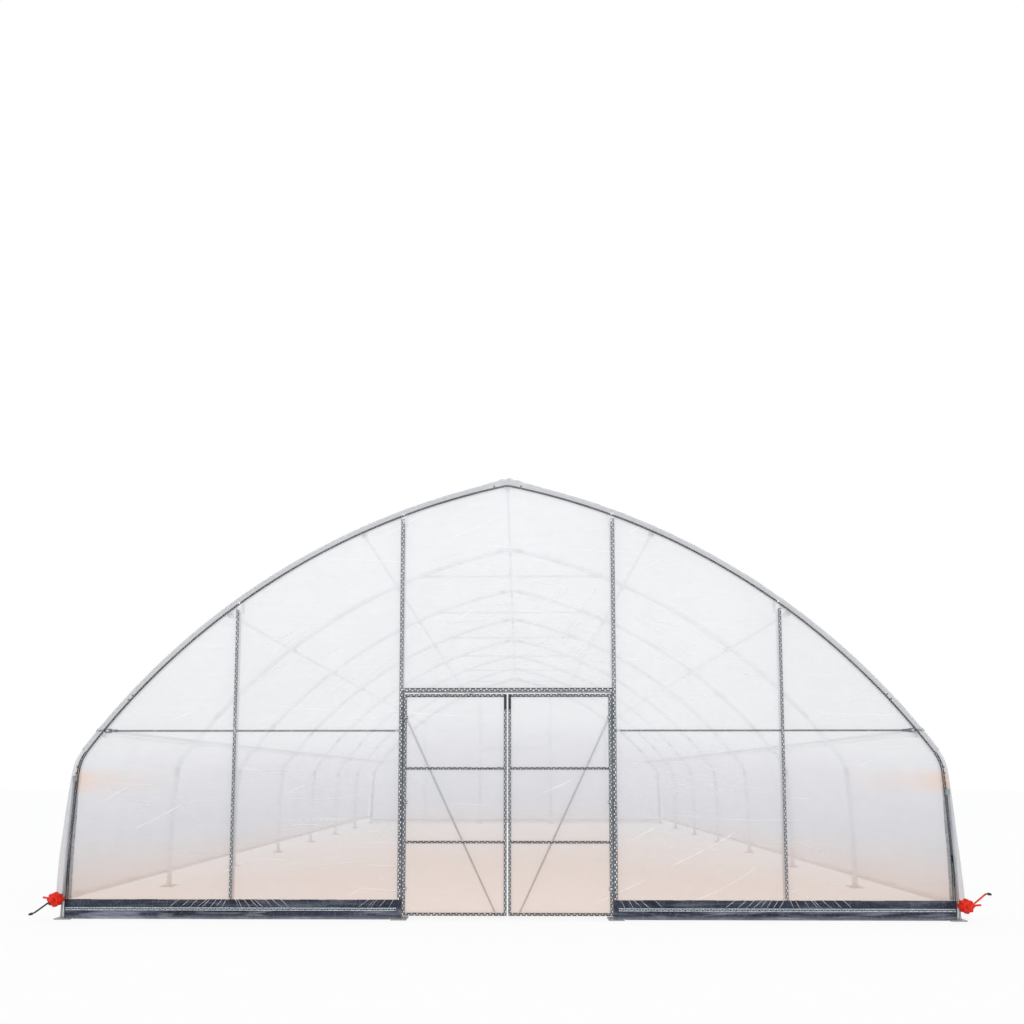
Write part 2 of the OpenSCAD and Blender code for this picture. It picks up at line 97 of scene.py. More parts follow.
# The ends, by the way they look along Y.
ENDS = {-1: "front", 1: "rear"}
FRONT_Y, REAR_Y = HOOP_YS[0], HOOP_YS[-1]
END_Y = {-1: FRONT_Y, 1: REAR_Y}
POST_NODES = (
    "front_hoop", "left_door_post", "right_door_post", "door_header", "mid_posts",
    "front_base_rails", "hoop_feet", "post_feet", "left_guide_rod", "right_guide_rod",
)
# Front-frame parts that take the steel colour, painted dark as shade.
DULL_NODES = ("front_girts", "left_leaf_frame", "right_leaf_frame", "door_hinges")
POST_X = middle("right_door_post").x
POST_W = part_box("right_door_post")[1].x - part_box("right_door_post")[0].x
MID_W = 0.04
MID_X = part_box("mid_posts")[1].x - MID_W / 2
HEADER_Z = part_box("door_header")[0].z
FILM_BACK = FRONT_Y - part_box("front_left_film")[1].y
FILM_FRONT = FRONT_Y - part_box("front_left_film")[0].y
SKIRT_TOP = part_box("front_skirts")[1].z
BASE_LINE = middle("front_base_rails").z + 0.012
GIRT_Z = middle("front_girts").z
FOOT_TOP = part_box("hoop_feet")[1].z
BRACE_TOP_Z, BRACE_FOOT, BRACE_W = 2.054, 0.100, 0.018
LEAF_TUBE = 0.030
LEAF_BARS = (0.793, 1.558)
LOCK_PLATE = 0.16
STAIN_Z = 1.42
RUNNER_R = 0.016
PIPE_R = 0.021
SPLICE_Z = 2.31
CLAMP_IN = HOOP_R * 0.74
ROD_OFF = 0.016
ROD_LEAN = math.tan(math.radians(3.1))
LEVER_REACH = {-1: 0.125, 1: 0.145}
JOINTS = {joint["name"]: Vector(joint["pos_m"]) for joint in frame["joints"]}
CRANK = {side: JOINTS[f"{name}_crank_turn"] for side, name in SIDES.items()}
HINGE = {side: JOINTS[f"{name}_leaf_swing"] for side, name in SIDES.items()}

# The centre line of a hoop: a straight leg, then four arcs that run on smoothly.
LEG_STRAIGHT = 0.300
LEG_R = 11.5
SHOULDER_R = 0.4
RIDGE_R = 0.15
LEAN = {"leg": 6.2, "rafter": 36.0, "curb": 38.0, "ridge": 78.0, "top": 90.0}


class Arc:
    """A stretch of the hoop's centre line, between two leans in degrees."""

    def __init__(self, x, z, radius, start, end):
        self.x, self.z, self.radius = x, z, radius
        self.start, self.end = start, end
        self.length = math.radians(end - start) * radius

    def point(self, lean, out=0.0):
        a = math.radians(lean)
        reach = self.radius + out
        return self.x + reach * math.cos(a), self.z + reach * math.sin(a)

    def next(self, radius, end):
        """The arc of another radius that carries on from this one."""
        a = math.radians(self.end)
        shift = self.radius - radius
        return Arc(
            self.x + shift * math.cos(a), self.z + shift * math.sin(a), radius, self.end, end
        )


def hoop_arcs():
    leg = Arc(HALF_W - LEG_R, LEG_STRAIGHT, LEG_R, 0.0, LEAN["leg"])
    shoulder = leg.next(SHOULDER_R, LEAN["rafter"])
    foot_x = shoulder.point(LEAN["rafter"])[0]
    cos_ridge = math.cos(math.radians(LEAN["ridge"]))
    cos_start = math.cos(math.radians(LEAN["rafter"]))
    rafter_r = (foot_x - RIDGE_R * cos_ridge) / (cos_start - cos_ridge)
    rafter = shoulder.next(rafter_r, LEAN["ridge"])
    return leg, shoulder, rafter, rafter.next(RIDGE_R, LEAN["top"])


ARCS = hoop_arcs()
LEG, SHOULDER, RAFTER, RIDGE = ARCS
RIDGE_Z = RIDGE.point(LEAN["top"])[1]
HALF_LENGTH = LEG_STRAIGHT + sum(arc.length for arc in ARCS)
CURB_ALONG = (
    LEG_STRAIGHT + LEG.length + SHOULDER.length
    + math.radians(LEAN["curb"] - LEAN["rafter"]) * RAFTER.radius
)


def hoop_walk(steps_per_metre, out=0.0, first=0.0, last=HALF_LENGTH):
    """Points (x, z, lean) up the right half of a hoop, between two lengths along it."""
    count = max(2, round((last - first) * steps_per_metre))
    for k in range(count + 1):
        along = first + (last - first) * k / count
        if along <= LEG_STRAIGHT:
            yield HALF_W + out, along, 0.0
            continue
        along -= LEG_STRAIGHT
        for arc in ARCS:
            if along <= arc.length or arc is RIDGE:
                break
            along -= arc.length
        lean = min(arc.start + math.degrees(along / arc.radius), arc.end)
        yield *arc.point(lean, out), lean


def lean_at(x):
    """Lean of the rafter at a distance from the middle."""
    return math.degrees(math.acos((x - RAFTER.x) / RAFTER.radius))


def hoop_height(x):
    return RAFTER.point(lean_at(x))[1]


def top_edge(x):
    """Height of the hoop's outer edge above a place near the middle."""
    arc = RIDGE if x <= RIDGE.point(LEAN["ridge"], HOOP_R)[0] else RAFTER
    return arc.z + math.sqrt(max(0.0, (arc.radius + HOOP_R) ** 2 - (x - arc.x) ** 2))


# ---------------------------------------------------------------------------
# Sizes and colours a user would change
# ---------------------------------------------------------------------------


def number(name, text, value, **limits):
    return bpy.props.FloatProperty(name=name, description=text, default=value, **limits)


def length(name, text, value):
    return number(name, text, value, min=0.0, unit="LENGTH", precision=4)


def share(name, text, value):
    return number(name, text, value, min=0.0, max=1.0, subtype="FACTOR")


def colour(name, text, value):
    return bpy.props.FloatVectorProperty(
        name=name, description=text, default=value, size=3, min=0.0, max=1.0, subtype="COLOR"
    )


class TunnelFilm(bpy.types.PropertyGroup):
    gap: length("Lift", "How far the film lies off the tubes", 0.0018)
    sag: length("Sag", "How far the roof film dips between two hoops", 0.022)
    ripple: length("Ripple", "Height of the soft ripples in the gable film", 0.0045)
    curtain_bulge: length("Curtain bulge", "How far the side curtains belly out", 0.05)
    roll_layers: length("Roll", "Thickness of the film wound on the roll pipes", 0.012)
    colour: colour("Film", "Colour of the film", (0.962, 0.965, 0.98))
    dust: colour("Dust", "Colour of the soil dust on the low film", (0.765, 0.615, 0.545))
    stain: colour("Stain", "Colour of the faint soil stain on the end film", (0.90, 0.66, 0.53))
    haze: colour("Haze", "Colour of the misted film at mid height", (0.705, 0.70, 0.73))
    rear: colour("Rear film", "Colour of the clean rear film", (0.80, 0.815, 0.87))
    gable_cover: share("Gable haze", "How much the gable film hides", 0.76)
    roof_cover: share("Roof haze", "How much the roof film hides", 0.64)
    skirt: colour("Skirt", "Colour of the ground skirt", (0.045, 0.055, 0.085))


class TunnelMetal(bpy.types.PropertyGroup):
    channel_w: length("Channel width", "Width of a film clamping channel", 0.034)
    channel_d: length("Channel depth", "Depth of a film clamping channel", 0.016)
    channel_lip: length("Channel lip", "Width of the lips of a channel", 0.008)
    leaf_channel_w: length("Leaf channel width", "Channel width on the leaves", 0.026)
    wire_d: length("Wire", "Diameter of the zigzag spring wire", 0.0048)
    wire_pitch: length("Wire pitch", "Length of one zigzag of the wire", 0.058)
    # steel is painted dark as shade on the front frame; hoop is painted pale to offset the shade inside
    # the tunnel.
    steel: colour("Steel", "Colour of the galvanised tube", (0.13, 0.15, 0.175))
    post: colour("Posts", "Colour of the end posts and rails", (0.33, 0.36, 0.39))
    hoop: colour("Hoops", "Colour of the bright galvanised hoops", (0.84, 0.85, 0.87))
    channel: colour("Channel", "Colour of the clamping channels", (0.36, 0.40, 0.44))
    wire: colour("Wire colour", "Colour of the coated spring wire", (0.055, 0.06, 0.07))
    red: colour("Winch red", "Colour of the winch housings", (0.70, 0.024, 0.010))
    black: colour("Black", "Colour of black metal and plastic", (0.022, 0.022, 0.024))


class TunnelStage(bpy.types.PropertyGroup):
    distance: length("Distance", "Camera distance in front of the gable", 6.85)
    height: length("Eye height", "Height of the camera", 1.47)
    offset: length("Offset", "How far the camera stands to the right", 0.122)
    lens: number("Lens", "Focal length in millimetres", 22.99, min=10.0)
    pitch: number("Tilt", "Upward tilt of the camera", math.radians(3.67), subtype="ANGLE")
    turn: number("Turn", "Turn of the camera to the left", math.radians(0.62), subtype="ANGLE")
    shift: number("Shift", "Vertical shift of the lens", 0.2177)
    sky: number("Sky", "Strength of the soft studio light", 0.72, min=0.0)
    key: number("Key", "Strength of the key light", 1.15, min=0.0)


def film_sizes():
    return bpy.context.scene.tunnel_film


def metal_sizes():
    return bpy.context.scene.tunnel_metal


# ---------------------------------------------------------------------------
# Materials
# ---------------------------------------------------------------------------


class Nodes:
    """Short ways to add and join the nodes of one material or world."""

    def __init__(self, name, kind="materials", shader="Principled BSDF"):
        self.holder = getattr(bpy.data, kind).new(name)
        self.holder.use_nodes = True
        self.tree = self.holder.node_tree
        self.shader = self.tree.nodes[shader]

    def set(self, socket, value):
        """Gives a socket another node's output, a number or a colour."""
        if hasattr(value, "is_output"):
            self.tree.links.new(value, socket)
        else:
            socket.default_value = (*value, 1.0) if socket.type == "RGBA" else value

    def add(self, kind, inputs=(), **settings):
        """A new node; inputs gives the values of its sockets by name or number."""
        node = self.tree.nodes.new(kind)
        for key, value in settings.items():
            setattr(node, key, value)
        for key, value in dict(inputs).items():
            self.set(node.inputs[key], value)
        return node

    def place(self, scale=(1.0, 1.0, 1.0), **more):
        """Object coordinates, stretched by a scale along each axis."""
        where = self.add("ShaderNodeTexCoord").outputs["Object"]
        inputs = {"Vector": where, "Scale": scale, **more}
        return self.add("ShaderNodeMapping", inputs).outputs["Vector"]

    def axes(self):
        """The Object coordinates one by one."""
        where = self.add("ShaderNodeTexCoord").outputs["Object"]
        return self.add("ShaderNodeSeparateXYZ", {0: where}).outputs

    def height_of(self, low, high):
        """0 at the height low and 1 at the height high."""
        inputs = {"Value": self.axes()["Z"], "From Min": low, "From Max": high}
        return self.add("ShaderNodeMapRange", inputs).outputs["Result"]

    def noise(self, vector, scale, detail=4.0, rough=0.55, distortion=0.0):
        inputs = {
            "Vector": vector, "Scale": scale, "Detail": detail, "Roughness": rough,
            "Distortion": distortion,
        }
        return self.add("ShaderNodeTexNoise", inputs).outputs["Fac"]

    def ramp(self, factor, stops):
        node = self.add("ShaderNodeValToRGB", {"Fac": factor})
        ramp = node.color_ramp
        while len(ramp.elements) < len(stops):
            ramp.elements.new(0.5)
        for element, (position, tone) in zip(ramp.elements, stops):
            element.position = position
            element.color = (*tone, 1.0)
        return node.outputs["Color"]

    def grey(self, factor, *stops):
        return self.ramp(factor, [(at, (value,) * 3) for at, value in stops])

    def mix(self, factor, first, second, blend="MIX"):
        inputs = {0: factor, 6: first, 7: second}
        return self.add("ShaderNodeMix", inputs, data_type="RGBA", blend_type=blend).outputs[2]

    def maths(self, operation, *values, clamp=False):
        inputs = dict(enumerate(values))
        return self.add("ShaderNodeMath", inputs, operation=operation, use_clamp=clamp).outputs[0]

    def times(self, first, second):
        return self.maths("MULTIPLY", first, second)

    def bump(self, height, strength, distance, **onto):
        inputs = {"Height": height, "Strength": strength, "Distance": distance, **onto}
        return self.add("ShaderNodeBump", inputs).outputs["Normal"]

    def blend(self, share_of_second, first, second):
        """Two shaders mixed."""
        inputs = {0: share_of_second, 1: first, 2: second}
        return self.add("ShaderNodeMixShader", inputs).outputs[0]

    def finish(self, tone, rough, normal, metallic=0.0, **more):
        values = {"Base Color": tone, "Roughness": rough, "Normal": normal, "Metallic": metallic}
        for name, value in {**values, **more}.items():
            self.set(self.shader.inputs[name.replace("_", " ")], value)
        return self.holder

    def surface(self, shader, output="Material Output"):
        self.set(self.tree.nodes[output].inputs["Surface"], shader)
        return self.holder


def shade(tone, amount):
    return tuple(min(1.0, c * amount) for c in tone)


def cloudy(n, cloud, tone, low, high):
    """A tone from darker to lighter between two levels of a cloud, given as (level, shade)."""
    return n.ramp(cloud, [(low[0], shade(tone, low[1])), (high[0], shade(tone, high[1]))])


def galvanised_steel(name, tone, metallic):
    """Zinc-coated tube: spangle, cloudy dull patches, thin streaks and dust low down."""
    n = Nodes(name)
    spangle = n.add("ShaderNodeTexVoronoi", {"Vector": n.place(), "Scale": 160.0}, feature="F1")
    cloud = n.noise(n.place((1.0, 1.0, 0.6)), 5.5, 6.0, 0.6)
    base = n.ramp(cloud, [(0.3, shade(tone, 0.72)), (0.52, tone), (0.75, shade(tone, 1.22))])
    base = n.mix(0.55, base, n.grey(spangle.outputs["Color"], (0.0, 0.80), (1.0, 1.0)), "MULTIPLY")
    streak = n.noise(n.place((34.0, 34.0, 2.2)), 1.0, 3.0, 0.6)
    base = n.mix(n.grey(streak, (0.56, 0.0), (0.72, 0.35)), base, (0.70, 0.72, 0.72))
    soil = n.grey(n.height_of(0.45, 0.0), (0.0, 0.0), (1.0, 0.55))
    soil = n.times(soil, n.noise(n.place(), 14.0, 5.0))
    base = n.mix(soil, base, (0.36, 0.28, 0.21))
    normal = n.bump(n.noise(n.place(), 240.0, 3.0), 0.12, 0.0006)
    return n.finish(base, n.grey(cloud, (0.3, 0.34), (0.7, 0.56)), normal, metallic)


def channel_metal(name, bright):
    """Rolled clamping channel, dull grey with scuffs along its length; bright scales its tone, so the
    copies are one metal painted lit and shaded.
    """
    n = Nodes(name)
    cloud = n.noise(n.place(), 18.0, 5.0)
    base = cloudy(n, cloud, shade(metal_sizes().channel, bright), (0.3, 0.7), (0.7, 1.3))
    scuff = n.noise(n.place((60.0, 60.0, 7.0)), 1.0, 2.0)
    scuff = n.grey(scuff, (0.60, 0.0), (0.74, 0.4))
    base = n.mix(scuff, base, shade((0.66, 0.69, 0.71), bright))
    normal = n.bump(n.noise(n.place(), 300.0, 2.0), 0.1, 0.0004)
    return n.finish(base, n.grey(cloud, (0.3, 0.32), (0.7, 0.52)), normal, 0.5)


def spring_wire_coating(name, tone):
    n = Nodes(name)
    speck = n.noise(n.place(), 55.0, 4.0)
    base = cloudy(n, speck, tone, (0.35, 0.7), (0.6, 1.0))
    rough = n.grey(speck, (0.3, 0.28), (0.7, 0.42))
    return n.finish(base, rough, n.bump(speck, 0.08, 0.0003), 0.15)


def film_lines(n, tilt, spacing, spot, least):
    """Sparse long creases: thin wavy lines at a tilt, kept only in some places."""
    vector = n.place(Rotation=(0.0, math.radians(tilt), 0.0), Location=(spot, 0.0, spot * 0.7))
    inputs = {
        "Vector": vector, "Scale": 0.314 / spacing, "Distortion": 1.5, "Detail": 2.0,
        "Detail Scale": 0.8,
    }
    wave = n.add("ShaderNodeTexWave", inputs, bands_direction="Z").outputs["Fac"]
    thin = n.grey(wave, (0.9935, 0.0), (0.9990, 1.0))
    place = n.noise(n.place((0.45, 0.45, 1.3)), 1.0 + spot * 0.1, 3.0, 0.6)
    return n.times(thin, n.grey(place, (least, 0.0), (least + 0.09, 1.0)))


def clear_band(n, slope, height, half_width, least):
    """1 away from a line, down to least where the film clings along it."""
    axes = n.axes()
    along = n.times(n.maths("ABSOLUTE", axes["X"]), slope)
    off = n.maths("SUBTRACT", n.maths("SUBTRACT", axes["Z"], along), height)
    off = n.maths("DIVIDE", n.maths("ABSOLUTE", off), half_width * 4.0, clamp=True)
    return n.grey(off, (0.20, least), (0.30, 1.0))


def film_material(name, cover, heights, bands=(), lines=1.0, stained=False, grime=0.0):
    """Hazy polyethylene: milky clouds, long creases that catch light, dust low down.
    heights is a list of (height in metres, colour) from the ground up."""
    n = Nodes(name)
    top = RIDGE_Z + 0.1
    height = n.height_of(0.0, top)
    # Painted light: the tone shifts up the ramp towards the sides, so the outer film takes the lighter
    # tone of higher film.
    if stained:
        shift = n.times(n.maths("ABSOLUTE", n.axes()["X"]), 0.085 / top)
        height = n.maths("ADD", height, shift)
    tone = n.ramp(height, [(level / top, at_level) for level, at_level in heights])
    cloud = n.noise(n.place((0.5, 0.5, 0.5)), 1.5, 5.0, 0.6)
    blotch = n.noise(n.place((1.0, 1.0, 1.4)), 5.0, 5.0, 0.62)
    marks = [n.grey(cloud, (0.3, 0.965), (0.7, 1.0)), n.grey(blotch, (0.3, 0.975), (0.7, 1.0))]
    if grime:
        runs = n.noise(n.place((3.2, 3.2, 0.35)), 1.6, 5.0, 0.62)
        marks.append(n.grey(runs, (0.32, 1.0 - grime), (0.62, 1.0)))
    for mark in marks:
        tone = n.mix(1.0, tone, mark, "MULTIPLY")
    crease = n.maths("MAXIMUM", film_lines(n, -3.0, 0.23, 3.1, 0.57),
                     film_lines(n, 27.0, 0.41, 7.7, 0.60))
    crease = n.times(crease, lines * 0.55)
    tone = n.mix(n.times(crease, 0.7), tone, (0.985, 0.99, 1.0))
    if stained:
        axes = n.axes()
        high = n.grey(n.maths("SUBTRACT", axes["Z"], STAIN_Z - 0.5),
                      (0.34, 0.0), (0.47, 1.0), (0.56, 1.0), (0.66, 0.0))
        near = n.grey(n.times(n.maths("ABSOLUTE", axes["X"]), 0.2),
                      (0.66, 0.0), (0.80, 0.22), (0.86, 0.42), (0.905, 0.85))
        tone = n.mix(n.times(high, near), tone, film_sizes().stain)
    alpha = n.grey(cloud, (0.3, cover - 0.03), (0.7, cover + 0.03))
    for band in bands:
        alpha = n.times(alpha, clear_band(n, *band))
    alpha = n.maths("ADD", alpha, n.times(crease, 0.25), clamp=True)
    ripple = n.noise(n.place((0.9, 0.9, 3.2)), 1.7, 5.0, 0.6, 0.6)
    normal = n.bump(ripple, 0.6 if grime else 0.25, 0.03)
    normal = n.bump(crease, 0.2, 0.004, Normal=normal)
    rough = n.grey(cloud, (0.3, 0.30), (0.7, 0.42))
    n.finish(tone, rough, normal, Specular_IOR_Level=0.35)
    glow = n.add("ShaderNodeBsdfTranslucent", {"Color": tone, "Normal": normal}).outputs[0]
    clear = n.add("ShaderNodeBsdfTransparent").outputs[0]
    return n.surface(n.blend(alpha, clear, n.blend(0.35, n.shader.outputs[0], glow)))


def gable_heights():
    """Tone of the end film by height: painted near white on top for the light there, greyer in the
    middle, soil dust low down.
    """
    film = film_sizes()
    return [
        (0.10, shade(film.dust, 1.06)), (0.60, shade(film.dust, 0.95)),
        (1.25, film.haze), (1.75, shade(film.haze, 1.12)), (2.10, shade(film.colour, 0.93)),
        (3.40, shade(film.colour, 0.985)), (4.60, film.colour),
    ]


def side_heights():
    film = film_sizes()
    return [
        (0.05, shade(film.dust, 1.06)), (0.50, shade(film.haze, 1.08)),
        (1.30, shade(film.haze, 1.16)), (2.30, shade(film.colour, 0.90)),
        (4.60, shade(film.colour, 0.93)),
    ]


def crease_material(name, thinnest, thickest, tone=(0.97, 0.975, 0.985)):
    """A sharp fold of film, doubled over and so whiter than the film beside it. With a grey tone it
    becomes a copy painted with shade.
    """
    n = Nodes(name)
    cloud = n.noise(n.place(), 22.0, 4.0)
    base = cloudy(n, cloud, tone, (0.3, 0.93), (0.7, 1.0))
    alpha = n.grey(cloud, (0.35, thinnest), (0.65, thickest))
    rough = n.grey(cloud, (0.3, 0.22), (0.7, 0.36))
    return n.finish(base, rough, n.bump(cloud, 0.2, 0.001), Alpha=alpha)


def pucker_material():
    """Film bunched up in a clamping channel, milky and a little grubby."""
    n = Nodes("puckered_film")
    cloud = n.noise(n.place(), 30.0, 5.0)
    base = n.ramp(cloud, [(0.3, (0.50, 0.53, 0.57)), (0.7, (0.90, 0.92, 0.95))])
    return n.finish(base, n.grey(cloud, (0.3, 0.3), (0.7, 0.5)), n.bump(cloud, 0.3, 0.002))


def brace_band():
    """Line of the leaf brace, as slope, height at the middle, half width and cover there."""
    low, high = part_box("right_leaf_film")
    x_in, z_in = low.x + LEAF_TUBE + BRACE_FOOT, low.z + LEAF_TUBE
    slope = (BRACE_TOP_Z - z_in) / (high.x - LEAF_TUBE - x_in)
    return slope, z_in - slope * x_in + BRACE_W / 2 * math.hypot(1, slope), \
        BRACE_W / 2 * math.hypot(1, slope), 0.93


def skirt_material():
    """Dark ground film with pale sheen streaks, fine creases and a muddy foot."""
    tone = film_sizes().skirt
    n = Nodes("ground_skirt_film")
    cloud = n.noise(n.place((1.0, 1.0, 2.0)), 3.2, 6.0, 0.62)
    base = cloudy(n, cloud, tone, (0.3, 0.30), (0.7, 0.85))
    sheen = n.noise(n.place((0.8, 1.0, 9.0)), 1.7, 4.0, 0.6, 0.7)
    low = n.grey(n.height_of(BASE_LINE, BASE_LINE - 0.012), (0.0, 0.22), (1.0, 0.60))
    sheen = n.times(n.grey(sheen, (0.48, 0.0), (0.66, 1.0)), low)
    base = n.mix(sheen, base, (0.34, 0.35, 0.42))
    crease = n.noise(n.place((5.0, 1.0, 3.0)), 2.2, 5.0, 0.6, 1.4)
    line = n.grey(crease, (0.475, 0.0), (0.5, 1.0), (0.525, 0.0))
    base = n.mix(n.times(line, 0.14), base, (0.42, 0.45, 0.52))
    mud = n.grey(n.height_of(0.045, 0.0), (0.0, 0.0), (1.0, 0.75))
    base = n.mix(n.times(mud, n.noise(n.place(), 9.0, 6.0)), base, (0.46, 0.46, 0.52))
    rough = n.grey(cloud, (0.3, 0.30), (0.7, 0.50))
    return n.finish(base, rough, n.bump(crease, 0.5, 0.012), Specular_IOR_Level=0.15)


def paint(name, tone, worn=(0.34, 0.33, 0.32), rough=0.36):
    """Enamel with orange peel, grime in the low spots and small chips."""
    n = Nodes(name)
    cloud = n.noise(n.place(), 26.0, 5.0)
    base = n.ramp(cloud, [(0.25, shade(tone, 0.68)), (0.5, tone), (0.8, shade(tone, 1.18))])
    chip = n.noise(n.place(), 95.0, 3.0, 0.7)
    base = n.mix(n.grey(chip, (0.70, 0.0), (0.715, 1.0)), base, worn)
    grime = n.noise(n.place(), 12.0, 6.0, 0.7)
    base = n.mix(n.grey(grime, (0.56, 0.0), (0.78, 0.38)), base, (0.16, 0.11, 0.08))
    normal = n.bump(n.noise(n.place(), 180.0, 2.0), 0.10, 0.0006)
    level = n.grey(cloud, (0.3, rough - 0.06), (0.7, rough + 0.10))
    return n.finish(base, level, normal, Specular_IOR_Level=0.25)


def grip_plastic():
    n = Nodes("moulded_grip")
    wear = n.noise(n.place(), 30.0, 4.0)
    base = n.ramp(wear, [(0.35, shade(metal_sizes().black, 0.8)), (0.7, (0.05, 0.05, 0.055))])
    normal = n.bump(n.noise(n.place(), 420.0, 3.0), 0.2, 0.0005)
    return n.finish(base, n.grey(wear, (0.3, 0.42), (0.7, 0.62)), normal)


MATERIALS = {}


def make_finishes():
    metal, film = metal_sizes(), film_sizes()
    girt = (0.0, GIRT_Z, 0.0115, 0.22)
    rear = [(0.2, shade(film.rear, 0.96)), (2.2, film.rear), (4.4, film.colour)]
    gable, roof = film.gable_cover, film.roof_cover
    MATERIALS.update(
        # Lit and shaded copies of galvanised steel: the hoops painted pale, the front frame painted dark
        # as shade.
        hoop_steel=galvanised_steel("hoop_steel", metal.hoop, 0.05),
        post_steel=galvanised_steel("post_steel", metal.post, 0.3),
        dull_steel=galvanised_steel("dull_steel", metal.steel, 0.3),
        zinc=galvanised_steel("zinc_fittings", shade(metal.hoop, 0.66), 0.35),
        bright_zinc=galvanised_steel("bright_zinc", metal.hoop, 0.35),
        # Channel metal at three painted brightnesses: mid-tone lips, an inside painted dark as shade in
        # the recess, and a base channel painted lighter as lit.
        channel=channel_metal("channel_lips", 0.60),
        channel_inside=channel_metal("channel_inside", 0.10),
        base_channel=channel_metal("base_channel", 1.6),
        wire=spring_wire_coating("coated_spring_wire", metal.wire),
        pale_wire=spring_wire_coating("pale_spring_wire", (0.78, 0.81, 0.85)),
        gable_film=film_material("gable_film", gable, gable_heights(), [girt], stained=True),
        leaf_film=film_material("leaf_film", gable, gable_heights(), [brace_band()]),
        rear_film=film_material("rear_film", roof, rear, lines=0.4),
        roof_film=film_material("roof_film", roof, side_heights(), lines=0.5, grime=0.10),
        side_film=film_material("side_film", roof + 0.08, side_heights(), lines=0.9, grime=0.14),
        pucker=pucker_material(),
        crease=crease_material("film_crease", 0.12, 0.55),
        pulled_crease=crease_material("pulled_crease", 0.35, 0.80),
        # A grey copy of the crease film, painted as shade on the doubled film edge by the legs.
        edge_film=crease_material("edge_film", 0.25, 0.45, (0.32, 0.33, 0.35)),
        # The rolled roof hem is a grey copy of the crease film, painted with shade.
        rolled_hem=crease_material("rolled_hem", 0.70, 0.90, (0.72, 0.73, 0.755)),
        # White film strips along the leaf bars, painted as highlights.
        hem=crease_material("film_hem", 0.80, 0.95),
        skirt=skirt_material(),
        clip=paint("clip_plastic", (0.62, 0.63, 0.65), (0.5, 0.5, 0.5), 0.4),
        red_paint=paint("red_paint", metal.red),
        black_paint=paint("black_paint", metal.black, (0.20, 0.20, 0.20), 0.42),
        grip=grip_plastic(),
    )
    finishes = {**dict.fromkeys(POST_NODES, "post_steel"), **dict.fromkeys(DULL_NODES, "dull_steel")}
    for name, node in frame["nodes"].items():
        for holder in node.material_slots:
            holder.material = MATERIALS[finishes.get(name, "hoop_steel")]


# ---------------------------------------------------------------------------
# Making pieces
# ---------------------------------------------------------------------------

UP, FORWARD = Vector((0, 0, 1)), Vector((0, -1, 0))


def placed(name, data, finish, body):
    """An object at the origin, with its finish, that rides on a body."""
    data.materials.append(MATERIALS[finish])
    made = bpy.data.objects.new(name, data)
    bpy.context.scene.collection.objects.link(made)
    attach(made, body)
    return made


def piece(name, mesh_data, finish, body=TUNNEL, smooth=False):
    """Turns a bmesh into a placed object."""
    mesh = bpy.data.meshes.new(name)
    mesh_data.to_mesh(mesh)
    mesh_data.free()
    for polygon in mesh.polygons:
        polygon.use_smooth = smooth
    return placed(name, mesh, finish, body)


def outward(mesh_data):
    """Merges what meets, caps the open ends and turns every face outwards."""
    bmesh.ops.remove_doubles(mesh_data, verts=mesh_data.verts, dist=1e-5)
    rims = [edge for edge in mesh_data.edges if len(edge.link_faces) == 1]
    bmesh.ops.holes_fill(mesh_data, edges=rims, sides=0)
    bmesh.ops.recalc_face_normals(mesh_data, faces=mesh_data.faces)


def of_kind(geometry, kind):
    """The vertices, edges or faces among what an operator gives back."""
    return [part for part in geometry if isinstance(part, kind)]


def add_box(mesh_data, low, high, turn=Matrix()):
    """A box between two corners, turned by a matrix about its own middle."""
    low, high = Vector(low), Vector(high)
    place = Matrix.Translation((low + high) / 2) @ turn @ Matrix.Diagonal((*(high - low), 1.0))
    return bmesh.ops.create_cube(mesh_data, size=1.0, matrix=place)["verts"]


def add_block(mesh_data, centre, half, turn=Matrix()):
    """A box about a centre, by its half sizes."""
    centre, half = Vector(centre), Vector(half)
    add_box(mesh_data, centre - half, centre + half, turn)


def add_rod(mesh_data, start, end, radius, sides=12, end_radius=None):
    """A rod, or a taper where the end has a radius of its own."""
    start, end = Vector(start), Vector(end)
    along = end - start
    turn = along.to_track_quat("Z", "Y").to_matrix().to_4x4()
    bmesh.ops.create_cone(
        mesh_data, cap_ends=True, segments=sides, radius1=radius,
        radius2=radius if end_radius is None else end_radius, depth=along.length,
        matrix=Matrix.Translation((start + end) / 2) @ turn,
    )


def add_stub(mesh_data, centre, axis, first, last, radius, sides=12):
    """A rod on an axis through a centre, between two distances along the axis."""
    centre = Vector(centre)
    add_rod(mesh_data, centre + axis * first, centre + axis * last, radius, sides)


def bolt(mesh_data, centre, axis, size=0.010):
    """Washer and hexagon head."""
    axis = Vector(axis).normalized()
    add_stub(mesh_data, centre, axis, 0.0, size * 0.15, size * 1.05)
    add_stub(mesh_data, centre, axis, size * 0.15, size * 0.77, size * 0.85, 6)


def bevel(mesh_data, width, edges=None):
    bmesh.ops.bevel(
        mesh_data, geom=edges or mesh_data.edges[:], offset=width, segments=1, profile=0.5,
        affect="EDGES", material=-1, clamp_overlap=True,
    )


def bevel_rims(mesh_data):
    """Softens only the sharp rims."""
    sharp = 1.2
    rims = [e for e in mesh_data.edges if len(e.link_faces) == 2 and e.calc_face_angle(0.0) > sharp]
    bevel(mesh_data, 0.0008, rims)


# ---------------------------------------------------------------------------
# Film
# ---------------------------------------------------------------------------


def soft(x, y, z, scale):
    """Smooth unevenness between about -1 and 1."""
    return noise.noise(Vector((x, y, z)) * scale)


def dip_between_hoops(y):
    """0 on a hoop and 1 half way between two hoops."""
    along = (y - FRONT_Y) / BAY
    within = 0 < along < len(HOOP_YS) - 1
    return math.sin(math.pi * (along - math.floor(along))) ** 0.8 if within else 0.0


